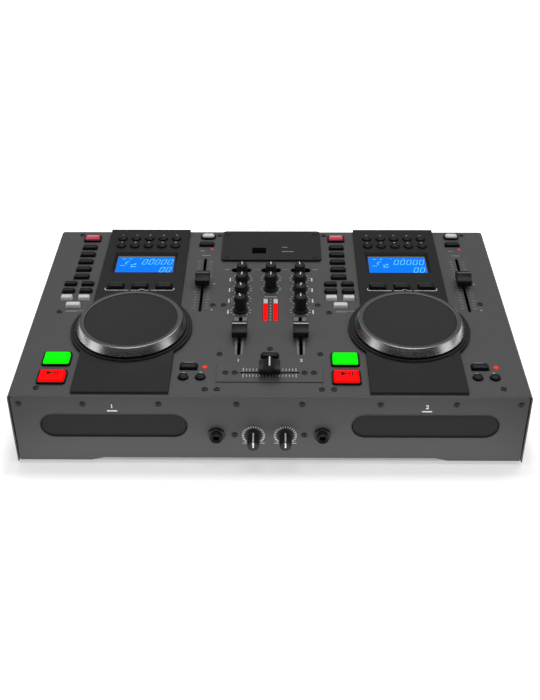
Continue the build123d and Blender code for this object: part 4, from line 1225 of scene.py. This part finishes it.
    def cover_keys(self) -> None:
        """The column of mode keys, the search keys, and the white keys below them."""
        modes, search, prints = self.part("modes"), self.part("search"), self.part("key_marks")
        for row, width in enumerate((7.0, 12.0, 12.4, 8.4, 10.8)):
            v = 264.6 - row * 15.4
            self.cap(modes, (16.2, 8.0), (-65.3, v), 1.2, "key_black")
            prints.mark("ink_faint", (width, 1.5), (-64.6, v + 6.4), 0.3)
        for u in (-74.7, -56.6):
            for v in (188.9, 175.2):
                self.cap(search, (13.0, 7.0), (u, v), 1.1, "key_black")
                for arrow in (-1.5, 1.5):
                    mark = arrow_shape(1.5, 180.0 if u < -60 else 0.0)
                    prints.add(mark.at(u + arrow, v + 5.6, INK_HEIGHT), "ink_white")
            self.cap(search, (12.4, 7.4), (u, 162.2), 1.1, "key_white")
            prints.mark("ink_faint", (7.0, 0.8), (u, 167.4), 0.2)
        self.cap(search, (15.4, 7.6), (self.key_u, 148.3), 1.1, "key_white")
        prints.mark("ink_faint", (12.0, 0.6), (-66.0, 137.2))
        prints.mark("ink_faint", (19.0, 0.6), (-61.5, 138.8))
        modes.moves(f"mode_keys_{self.tag}", "key_black")
        search.moves(f"search_keys_{self.tag}", "key_black")
        prints.done("cabinet", "key_grey")

    def tempo_keys(self) -> None:
        """The white source key, the tempo and lock keys and the two bend keys."""
        keys = self.part("tempo")
        source = key_shape(Outline.OVAL, (14.4, 8.4), 0.2, self.tall_top, 1.3)
        keys.add(source.at(65.9, 289.3), "key_white")
        self.cap(keys, (16.2, 8.0), (65.0, 272.0), 1.3, "key_black")
        self.cap(keys, (16.4, 9.2), (61.0, 43.2), 1.3, "key_black")
        for u in self.bend_u:
            cap = Shape.disc(4.9, 12).raised(3.2, 0.3).softened(0.5, 2).crowned(2.4, 1.0, 3)
            keys.add(cap.spun(15.0).at(u, 27.4, -1.0), "key_black")
        keys.moves(f"tempo_keys_{self.tag}", "key_black")

    def transport(self) -> None:
        """The lit cue and play keys and the clear eject key."""
        for use, v, slot in (("cue", self.cue_v, "key_green"), ("play", self.play_v, "key_red")):
            key = self.part(use)
            cap = Shape.plate(24.1, 17.6, 1.6, 6).raised(3.4, 0.35).softened(0.9, 4)
            key.add(cap.crowned(3.5, 0.2).at(self.key_u, v, 0.2), f"{use}_lens")
            if use == "play":
                key.add(arrow_shape(3.2).at(-68.4, v + 2.6, self.lens_top), "ink_black")
                for u in (-63.0, -60.4):
                    key.mark("ink_black", (1.3, 5.6), (u, v + 2.6, self.lens_top))
            key.moves(f"{use}_key_{self.tag}", slot)
        key = self.part("eject")
        cap = Shape.plate(16.0, 9.2, 1.0).raised(3.4, 0.35).softened(0.8, 4).crowned(2.0, 0.15)
        key.add(cap.at(-65.0, 283.8, 0.2), "eject_lens")
        key.add(Shape.plate(12.6, 2.2, 0.6, 3).at(-65.0, 285.6, 3.78), "eject_bright")
        key.moves(f"eject_key_{self.tag}", "key_pink")

    def bezels(self) -> None:
        """The raised frames of the transport, eject and source keys."""
        piece = self.part("bezels")
        for kind, size, place in (
            (Outline.SQUARE, (24.5, 18.0), (self.key_u, self.cue_v)),
            (Outline.SQUARE, (24.5, 18.0), (self.key_u, self.play_v)),
            (Outline.SQUARE, (16.4, 9.6), (-65.0, 283.8)),
            (Outline.OVAL, (14.4, 8.4), (65.9, 289.3)),
        ):
            piece.add(ring_shape(kind, size, 1.6, 2.4).at(*place), "key_black")
        piece.done("cabinet", "trim_black", "key_bezels")

    def pitch_fader(self) -> None:
        """The long fader beside the jog wheel."""
        piece = self.part("pitch_cap")
        fader_cap(piece, self.fader_u, self.fader_v, 0.0, "glass_grey")
        piece.moves(f"pitch_fader_{self.tag}", "cap_black", 30.0)

    def marks(self) -> None:
        """The ticks of the pitch fader and the small marks beside keys and lamps."""
        piece = self.part("deck_marks")
        for step in range(-9, 10):
            long = 4.4 if step % 3 == 0 else 3.0
            for beside in (-1, 1):
                u = self.fader_u + beside * (4.6 + long / 2)
                piece.mark("ink_faint", (long, 0.55), (u, self.fader_v + step * 5.1))
        for v in (190.5, 141.0):
            piece.add(Shape.disc(0.8, 12).at(77.4, v, INK_HEIGHT), "ink_white")
        for width, depth, u, v in (
            (9.0, 1.3, 65.0, 279.2), (9.4, 1.1, 65.6, 249.0), (5.0, 1.0, 61.0, 259.0),
            (9.2, 1.2, 61.0, 50.6),
        ):
            piece.mark("ink_faint", (width, depth), (u, v), 0.3)
        minus, plus = self.bend_u
        for width, depth, u in ((2.6, 0.6, minus), (2.6, 0.6, plus), (0.6, 2.6, plus)):
            piece.mark("ink_white", (width, depth), (u, 34.6))
        piece.done("cabinet", "key_grey")


@dataclass
class Mixer(Assembly):
    """The middle: knobs, switches, meter, faders, crossfader and memory-stick plate."""

    knob_x: float = 30.6
    knob_rows: tuple[float, ...] = (201.0, 180.4, 159.8, 139.2)
    knob_top: float = 18.0
    knob_turns: tuple[float, ...] = (0.0, -6.0, 8.0, 12.0)
    fader_x: float = 30.1
    fader_v: float = 95.6
    switch_x: float = 32.0
    switch_v: float = 218.2
    slot_x: float = -13.6
    lamp_depth: float = 9.0

    def build(self) -> None:
        """Makes every piece."""
        self.knobs()
        self.switches()
        self.lamps()
        self.faders()
        self.start_key()
        self.plate()
        self.marks()

    def knob(self, name: str, x: float, v: float, turn: float) -> None:
        """One knob with its pointer.

        Args:
            name: its node.
            x: its place.
            v: its place.
            turn: where it points, in degrees from the back.
        """
        piece, top = self.piece(name.replace("_knob", "_dial")), self.knob_top
        pointer = Shape.plate(1.15, 5.4, 0.3, 2).at(0.0, 2.4, top + 0.2).spun(turn)
        side = Shape.plate(1.15, 5.6, 0.3, 2).spun(-88.5, "X").at(0.0, 5.62, top - 3.3)
        add_knob(piece, x, v, top, pointer, side.spun(turn))
        piece.moves(name, "knob_black", 30.0)

    def knobs(self) -> None:
        """The eight channel knobs and the two of the middle column."""
        for column, (side, way) in enumerate((("left", -1), ("right", 1))):
            for row, use in enumerate(("gain", "treble", "middle", "bass")):
                turn = self.knob_turns[(row + column) % 4] * -way
                self.knob(f"{use}_knob_{side}", self.knob_x * way, self.knob_rows[row], turn)
        self.knob("master_knob", 0.0, self.knob_rows[0], 0.0)
        self.knob("monitor_knob", 0.0, self.knob_rows[1], 0.0)

    def switches(self) -> None:
        """Three slide switches with finger ridges."""
        v = self.switch_v
        for name, x in (("left", -self.switch_x), ("middle", 0.0), ("right", self.switch_x)):
            piece = self.piece(f"slide_{name}")
            cap = Shape.plate(7.0, 7.0, 0.5, 3).raised(6.0, 0.3).softened(0.5, 2)
            piece.add(cap.at(x, v, -1.2), "key_black")
            for ridge in (-2.0, -0.7, 0.7, 2.0):
                bar = Shape.plate(0.6, 5.6).raised(0.3, 0.1)
                piece.add(bar.at(x + ridge, v, 4.7), "key_black")
            piece.add(Shape.plate(3.5, 3.5).raised(7.0).at(x, v, -8.0), "nickel")
            piece.moves(f"input_switch_{name}", "trim_black")

    def lamps(self) -> None:
        """Meter bars, indicator domes and the pin-head lamps."""
        piece, deep = self.piece("lamps"), self.lamp_depth
        for x in (-5.2, 5.2):
            for start, end, finish in ((121.8, 153.4, "meter_red"), (153.4, 161.4, "meter_clear")):
                long, middle = end - start, (start + end) / 2
                bar = Shape.plate(5.6, long, 0.3, 2).raised(deep)
                piece.add(bar.at(x, middle, -deep), "trim_gloss")
                piece.add(Shape.plate(4.5, long, 0.3, 2).raised(0.1).at(x, middle), finish)
        for side in Side:
            for u, v, r in ((71.6, 262.3, 1.6), (76.2, 43.4, 2.5)):
                profile = [(r, -deep), (r, 0.15), (r * 0.92, 0.42), (r * 0.7, 0.66)]
                profile += [(r * 0.4, 0.78), (0.0, 0.8)]
                piece.add(Shape.turned(profile, 24).at(side.value + u, v), "lamp_red")
        for v in (262.6, 253.0):
            pin = Shape.turned([(1.0, -deep), (1.0, 2.5), (0.7, 2.6), (0.0, 2.6)], 16)
            piece.add(pin.at(8.9, v), "trim_gloss")
        piece.done("cabinet", "lamp", "indicator_lamps")

    def faders(self) -> None:
        """The two channel faders and the crossfader."""
        for name, x, v, turn in (
            ("channel_fader_left", -self.fader_x, self.fader_v, 0.0),
            ("channel_fader_right", self.fader_x, self.fader_v, 0.0),
            ("crossfader", 0.0, CROSS_V, 90.0),
        ):
            piece = self.piece(name.replace("fader", "cap"))
            fader_cap(piece, x, v, turn, "ink_white")
            piece.moves(name, "cap_black", 30.0)

    def start_key(self) -> None:
        """The key above the crossfader."""
        piece = self.piece("start_cap")
        piece.add(key_shape(Outline.SQUARE, (16.6, 7.6), -1.0, 3.2, 1.2).at(0.0, 60.7), "key_black")
        piece.moves("start_key", "key_black")

    def plate(self) -> None:
        """The tongue in the memory-stick slot and the marks of the middle plate."""
        piece = self.piece("stick_tongue")
        tongue = Shape.plate(11.6, 3.0).raised(9.0)
        piece.add(tongue.at(self.slot_x, 256.4, -14.8), "key_black")
        for pin in (-3.6, -1.2, 1.2, 3.6):
            contact = Shape.plate(1.1, 0.3).raised(7.0)
            piece.add(contact.at(self.slot_x + pin, 254.7, -13.8), "nickel")
        piece.done("cabinet", "trim_black")
        prints = self.piece("plate_prints")
        for x, v, width in ((14.6, 262.8, 6.0), (18.0, 253.4, 13.0)):
            prints.mark("ink_faint", (width, 1.0), (x, v, MIDDLE_PLATE + INK_HEIGHT), 0.3)
        prints.done("cabinet", "key_grey")

    def marks(self) -> None:
        """Scales, dashes, stripes and numerals printed on the mixer."""
        piece = self.piece("mixer_marks")
        places = [(x, v) for x in (-self.knob_x, self.knob_x) for v in self.knob_rows]
        for x, v in places + [(0.0, v) for v in self.knob_rows[:2]]:
            knob_scale(piece, (x, v, INK_HEIGHT), 11, 135.0, (0.6, 1.9))
            if x:
                piece.mark("ink_white", (1.5, 7.0), (math.copysign(43.4, x), v - 2.0), 0.4)
        for x in (-self.knob_x, 0.0, self.knob_x):
            piece.add(Shape.disc(0.75, 12).at(x, 229.5, INK_HEIGHT), "ink_white")
        for x in (-self.switch_x, 0.0, self.switch_x):
            for beside in (-15.6, 15.6):
                piece.mark("ink_faint", (5.4, 0.9), (x + beside, 219.5), 0.2)
        for step in range(8):
            piece.mark("ink_white", (1.5, 0.8), (0.0, 122.6 + step * 5.4), 0.2)
        piece.mark("ink_faint", (13.0, 1.6), (0.0, 165.4), 0.3)
        for way, numeral in ((-1, "1"), (1, "2")):
            x = way * self.fader_x
            for beside in (-1, 1):
                inner, near, far = beside * 1.95, beside * 3.4, beside * 6.4
                corners = [(inner, -32.0), (near, -32.0), (far, 32.0), (inner, 32.0)]
                stripe = Shape.outline(corners if beside > 0 else corners[::-1])
                piece.add(stripe.at(x, self.fader_v, INK_HEIGHT), "ink_dim")
            piece.add(Shape.text(numeral, 4.2).at(x, 54.2, INK_HEIGHT), "ink_white")
        for way, turn in ((-1, 180.0), (1, 0.0)):
            mark = Shape.outline([(1.3, 0.0), (-1.1, 1.3), (-1.1, -1.3)]).spun(turn)
            piece.add(mark.at(way * 4.6, 53.4, INK_HEIGHT), "ink_white")
        for step in range(-8, 9):
            size = (0.6, 5.4 if abs(step) == 8 else 3.4)
            for v in (38.4, 29.0):
                piece.mark("ink_white", size, (step * 3.1, v, CROSS_PLATE + INK_HEIGHT))
        piece.done("cabinet", "key_grey")


@dataclass
class FrontPanel(Assembly):
    """What stands in and on the front: jacks, level knobs, trays and marks."""

    jack_x: float = 49.8
    jack_z: float = 33.0
    knob_x: float = 15.0
    knob_z: float = 31.7
    knob_height: float = 15.7

    def build(self) -> None:
        """Makes every piece."""
        self.repaint("tray_plastic", "disc_tray_left", "disc_tray_right")
        self.tray_rims()
        self.jacks()
        self.level_knob("microphone_knob", -self.knob_x)
        self.level_knob("headphone_knob", self.knob_x)
        self.marks()

    def tray_rims(self) -> None:
        """A black ring painted as the shadow in the gap round each tray's opening, and the fine
        raised rim round it.
        """
        piece = self.piece("tray_rims", UNIT.face)
        for tray in ("disc_tray_left", "disc_tray_right"):
            low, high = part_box(tray)
            width, height = (high.x - low.x) / MM, (high.z - low.z) / MM
            place = ((low.x + high.x) / 2 / MM, ((low.z + high.z) / 2 - UNIT.foot) / MM)
            # the first ring is painted shadow, a black band where the gap round the recessed tray
            # falls into shade; the second is the raised face-coat rim
            for reach, wide, rise, finish in (
                (2.2, 0.7, 0.02, "ink_black"), (3.2, 0.5, 0.25, "face_coat"),
            ):
                tall = height + reach
                rim = Shape.plate(width + reach, tall, tall / 2, 24).opened(wide).raised(rise)
                piece.add(rim.at(*place, FACE_SKIN + 0.01), finish)
        piece.done("cabinet", "trim_black")

    def jacks(self) -> None:
        """Two large jacks, each with its hexagon nut, washer and threaded barrel."""
        piece, z = self.piece("jacks", UNIT.face), self.jack_z
        profile = [(5.9, -2.1), (5.9, 1.9)]
        for turn in range(6):
            low = 2.0 + turn * 0.7
            profile += [(5.5, low + 0.15), (5.85, low + 0.5)]
        profile += [(5.75, 6.2), (5.4, 6.5), (4.9, 6.5), (4.6, 6.2), (4.3, 5.2), (3.25, 4.8)]
        profile += [(3.2, -21.5), (0.0, -21.5)]
        for x in (-self.jack_x, self.jack_x):
            nut = Shape.disc(8.4, 6).raised(2.0).softened(0.4, 2)
            piece.add(nut.at(x, z, FACE_SKIN + 0.3), "blued_nut")
            washer = Shape.turned([(8.0, 0.0), (8.0, 0.35), (6.0, 0.35)], 40)
            piece.add(washer.at(x, z, FACE_SKIN), "blued_nut")
            piece.add(Shape.turned(profile, 48).at(x, z), "key_black")
            body = Shape.plate(16.0, 18.0, 0.8).raised(25.9)
            piece.add(body.at(x, z, -28.1), "trim_gloss")
            spring = Shape.plate(1.2, 3.0).raised(6.0).spun(90.0, "X")
            piece.add(spring.at(x, z + 2.9, -4.0), "nickel")
        piece.done("cabinet", "jack_metal", "front_jacks")

    def level_knob(self, name: str, x: float) -> None:
        """A level knob on the front with a long pointer.

        Args:
            name: its node.
            x: its place.
        """
        piece, top = self.piece(name.replace("_knob", "_dial"), UNIT.face), self.knob_height
        face = Shape.plate(1.25, 6.6, 0.3, 2).at(0.0, 1.8, top + 0.2)
        side = Shape.plate(1.35, 12.2, 0.3, 2).spun(-88.3, "X").at(0.0, 5.76, top / 2 + 1.2)
        add_knob(piece, x, self.knob_z, top, face, side)
        piece.moves(name, "knob_black", 30.0)

    def marks(self) -> None:
        """The scales round the level knobs and the marks over the trays."""
        piece = self.piece("front_marks", UNIT.face)
        height = FACE_SKIN + INK_HEIGHT
        for x in (-self.knob_x, self.knob_x):
            knob_scale(piece, (x, self.knob_z, height), 21, 132.0, (0.65, 2.2, 0.2, 2))
            for beside in (-8.4, 8.4):
                piece.mark("ink_faint", (4.4, 0.8), (x + beside, 22.4, height), 0.2)
        for x, numeral in ((-145.5, "1"), (145.5, "2")):
            piece.add(Shape.text(numeral, 4.4).at(x, 65.8, height), "ink_white")
            piece.mark("ink_white", (9.4, 1.4), (x, 60.7, height), 0.2)
        piece.done("cabinet", "key_grey")


@dataclass
class Inside(Assembly):
    """What the openings give a view of, and the sockets at the back."""

    column_pitch: float = 26.0
    row_pitch: float = 19.0
    socket_x: float = 60.0
    socket_z: float = 44.0
    inlet_x: float = -186.0
    rocker_x: float = -146.0
    mains_z: float = 40.0

    def build(self) -> None:
        """Makes every piece."""
        self.repaint("zinc_sheet", "disc_drives")
        self.repaint("board_dark", "circuit_boards")
        self.repaint("board_green", "power_supply")
        self.repaint("trim_gloss", "power_rocker")
        self.sockets()

    def sockets(self) -> None:
        """Phono rings in two rows on their block, the mains inlet and the switch frame."""
        piece = self.piece("sockets", UNIT.back)
        block = Shape.plate(4 * self.column_pitch, 2 * self.row_pitch, 1.0).raised(16.0)
        piece.add(block.at(self.socket_x, self.socket_z, -18.1), "trim_gloss")
        collar = [(5.6, -2.1), (5.6, 0.9), (5.3, 1.2), (4.1, 1.2)]
        barrel = [(4.15, 1.2), (4.15, 9.0), (3.9, 9.4), (3.6, 9.4), (3.4, 9.1), (3.4, 8.6)]
        core = [(3.4, 8.6), (1.8, 8.6), (1.6, 8.3), (1.6, 2.4), (0.0, 2.4)]
        for column in range(4):
            x = self.socket_x + (column - 1.5) * self.column_pitch
            for row, ring in ((-0.5, "socket_red"), (0.5, "key_white")):
                z = self.socket_z + row * self.row_pitch
                for profile, steps, finish in (
                    (collar, 40, ring), (barrel, 40, "nickel"), (core, 32, ring),
                ):
                    piece.add(Shape.turned(profile, steps).at(x, z), finish)
        self.mains(piece)
        piece.done("cabinet", "jack_metal", "rear_sockets")

    def mains(self, piece: Piece) -> None:
        """The mains inlet with its three blades, and the frame of the power switch.

        Args:
            piece: the piece that they join.
        """
        x, z = self.inlet_x, self.mains_z
        flange = Shape.plate(31.0, 24.0, 3.0, 6).raised(2.0).softened(0.5, 3).recessed(3.0, 16.5)
        piece.add(flange.at(x, z, FACE_SKIN), "trim_gloss")
        piece.add(Shape.plate(27.0, 20.0).raised(18.0).at(x, z, FACE_SKIN - 20.0), "trim_gloss")
        for dx, dz in ((-7.0, -2.0), (0.0, 2.0), (7.0, -2.0)):
            blade = Shape.plate(2.0, 4.0, 0.3, 2).raised(12.0, 0.2)
            piece.add(blade.at(x + dx, z + dz, FACE_SKIN - 14.5), "nickel")
        frame = Shape.plate(17.0, 23.0, 1.5).raised(2.0).softened(0.4, 3).recessed(1.6, 17.0)
        piece.add(frame.at(self.rocker_x, z, FACE_SKIN), "trim_gloss")


@dataclass
class Studio:
    """Camera, floor and lights."""

    place: tuple[float, float, float] = (0.008962, -0.905314, 0.660242)
    pitch: float = 0.607319738
    yaw: float = 0.0107520413
    roll: float = -0.00366232277
    lens: float = 53.61
    sensor: float = 36.0
    near_clip: float = 0.01
    floor_size: float = 9000.0
    floor_glow: float = 2.8
    seen_near: float = 0.13
    seen_far: float = 0.22

    def build(self) -> None:
        """Makes everything that isn't the object."""
        scene = bpy.context.scene
        scene.view_settings.view_transform = "Standard"
        self.camera(scene)
        self.floor()
        self.world(scene)
        self.light("key", (0.25, 0.85, 1.8), (0.0, 0.08, 0.05), (2.2, 1.0), 13.5)
        self.light("fill", (0.0, -0.45, 2.2), (0.0, -0.05, 0.05), (1.6, 0.7), 8.0)
        self.light("left_strip", (-1.33, -0.43, 0.28), (-0.1, -0.05, 0.09), (0.55, 0.5), 1.0)
        self.light("right_strip", (1.33, -0.43, 0.28), (0.1, -0.05, 0.09), (0.55, 0.5), 1.0)

    def camera(self, scene: bpy.types.Scene) -> None:
        """The camera, at the photograph's angle.

        Args:
            scene: the scene that looks through it.
        """
        data = bpy.data.cameras.new("camera")
        data.lens = self.lens
        data.sensor_width = self.sensor
        data.clip_start = self.near_clip
        camera = bpy.data.objects.new("camera", data)
        scene.collection.objects.link(camera)
        scene.camera = camera
        turn = Matrix.Rotation(self.yaw, 3, "Z")
        ahead = turn @ Vector((0.0, math.cos(self.pitch), -math.sin(self.pitch)))
        up = turn @ Vector((0.0, math.sin(self.pitch), math.cos(self.pitch)))
        right = turn @ Vector((1.0, 0.0, 0.0))
        across = right * math.cos(self.roll) + up * math.sin(self.roll)
        upright = up * math.cos(self.roll) - right * math.sin(self.roll)
        basis = Matrix((across, upright, -ahead)).transposed().to_4x4()
        camera.matrix_world = Matrix.Translation(self.place) @ basis

    def floor(self) -> None:
        """A pale floor that keeps the shadow.

        The camera sees it glow a little, more so away from the unit, which makes it white there.
        Light that bounces off it finds a bright patch before the front panel, which lights that.
        """
        shape = Shape.plate(self.floor_size, self.floor_size)
        shape.bm.transform(Matrix.Scale(MM, 4))
        mesh = bpy.data.meshes.new("floor")
        shape.bm.to_mesh(mesh)
        shape.bm.free()
        floor = bpy.data.objects.new("floor", mesh)
        bpy.context.scene.collection.objects.link(floor)
        box = Paintbox("floor")
        point = box.point()
        cloud = box.noise(point, 3.0, 2.0)
        across, along, _ = box.axes(point)
        path = box.node("ShaderNodeLightPath")
        seen = box.field(path, "Is Camera Ray") + box.field(path, "Is Glossy Ray")
        seen = (seen + box.field(path, "Is Transmission Ray")).held()
        near = (1.0 - ((along + 0.20).size() - 0.04) * 60.0).held()
        near = near * (1.0 - (across.size() - 0.24) * 30.0).held()
        far = ((along.size() - 0.16) * 30.0).held() + ((across.size() - 0.25) * 24.0).held()
        white = far.held() * self.seen_far + self.seen_near
        share = (seen * white + near * (1.0 - seen)).held()
        box.surface(
            Base_Color=box.blend(cloud, (0.88, 0.88, 0.88), (0.90, 0.90, 0.90)),
            Roughness=0.9,
            Emission_Color=box.blend(share, (0.0, 0.0, 0.0), (1.0, 1.0, 1.0)),
            Emission_Strength=self.floor_glow,
        )
        mesh.materials.append(box.material)

    def world(self, scene: bpy.types.Scene) -> None:
        """A white surround with a dark stand behind the camera, which the turned metal mirrors.

        Args:
            scene: the scene that it surrounds.
        """
        world = bpy.data.worlds.new("surround")
        world.use_nodes = True
        sky = Nodes(world.node_tree)
        toward = sky.field(sky.node("ShaderNodeTexCoord"), "Generated")
        across, along, up = sky.axes(toward)
        turn = across.angle_from(0.0 - along).size()
        stand = (1.0 - (turn - 0.85) * 4.0).held() * (1.0 - (up - 0.40) * 5.0).held()
        seen = sky.field(sky.node("ShaderNodeLightPath"), "Is Camera Ray")
        light = ((up * 0.75 + 0.25).held() * (1.0 - stand) * (1.0 - seen) + seen * 2.0).held()
        background = world.node_tree.nodes["Background"]
        sky.plug(background.inputs["Color"], sky.blend(light, (0.02, 0.02, 0.02), (1.0, 1.0, 1.0)))
        sky.plug(background.inputs["Strength"], seen * 0.45 + 0.55)
        scene.world = world

    def light(
        self, name: str, place: Sequence[float], aim: Sequence[float], size: Pair, power: float
    ) -> None:
        """A soft box.

        Args:
            name: its name.
            place: where it stands.
            aim: where it points.
            size: its width and height.
            power: its power in watts.
        """
        data = bpy.data.lights.new(name, "AREA")
        data.shape = "RECTANGLE"
        data.size, data.size_y = size
        data.energy = power
        lamp = bpy.data.objects.new(name, data)
        lamp.visible_camera = False
        lamp.location = place
        lamp.rotation_euler = (Vector(aim) - Vector(place)).to_track_quat("-Z", "Y").to_euler()
        bpy.context.scene.collection.objects.link(lamp)


def corners(bounds: Iterable[Sequence[float]]) -> list[list[float]]:
    """Bounds as plain lists of numbers."""
    return [[float(part) for part in corner] for corner in bounds]


def main() -> None:
    """Builds the whole scene."""
    logging.basicConfig(level=logging.INFO, format="%(message)s")
    UNIT.measured()
    palette = Palette.mixed()
    Studio().build()
    Cabinet(palette).build()
    for side in Side:
        Deck(palette, side=side).build()
    Mixer(palette).build()
    FrontPanel(palette).build()
    Inside(palette).build()


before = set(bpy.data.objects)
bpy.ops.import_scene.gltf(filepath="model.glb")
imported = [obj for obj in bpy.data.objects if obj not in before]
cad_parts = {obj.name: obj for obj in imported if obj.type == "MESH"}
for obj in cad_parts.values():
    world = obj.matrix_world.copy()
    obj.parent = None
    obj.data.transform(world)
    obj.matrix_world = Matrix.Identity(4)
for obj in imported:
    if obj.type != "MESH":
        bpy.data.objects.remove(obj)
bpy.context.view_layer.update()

if __name__ == "__main__":
    main()
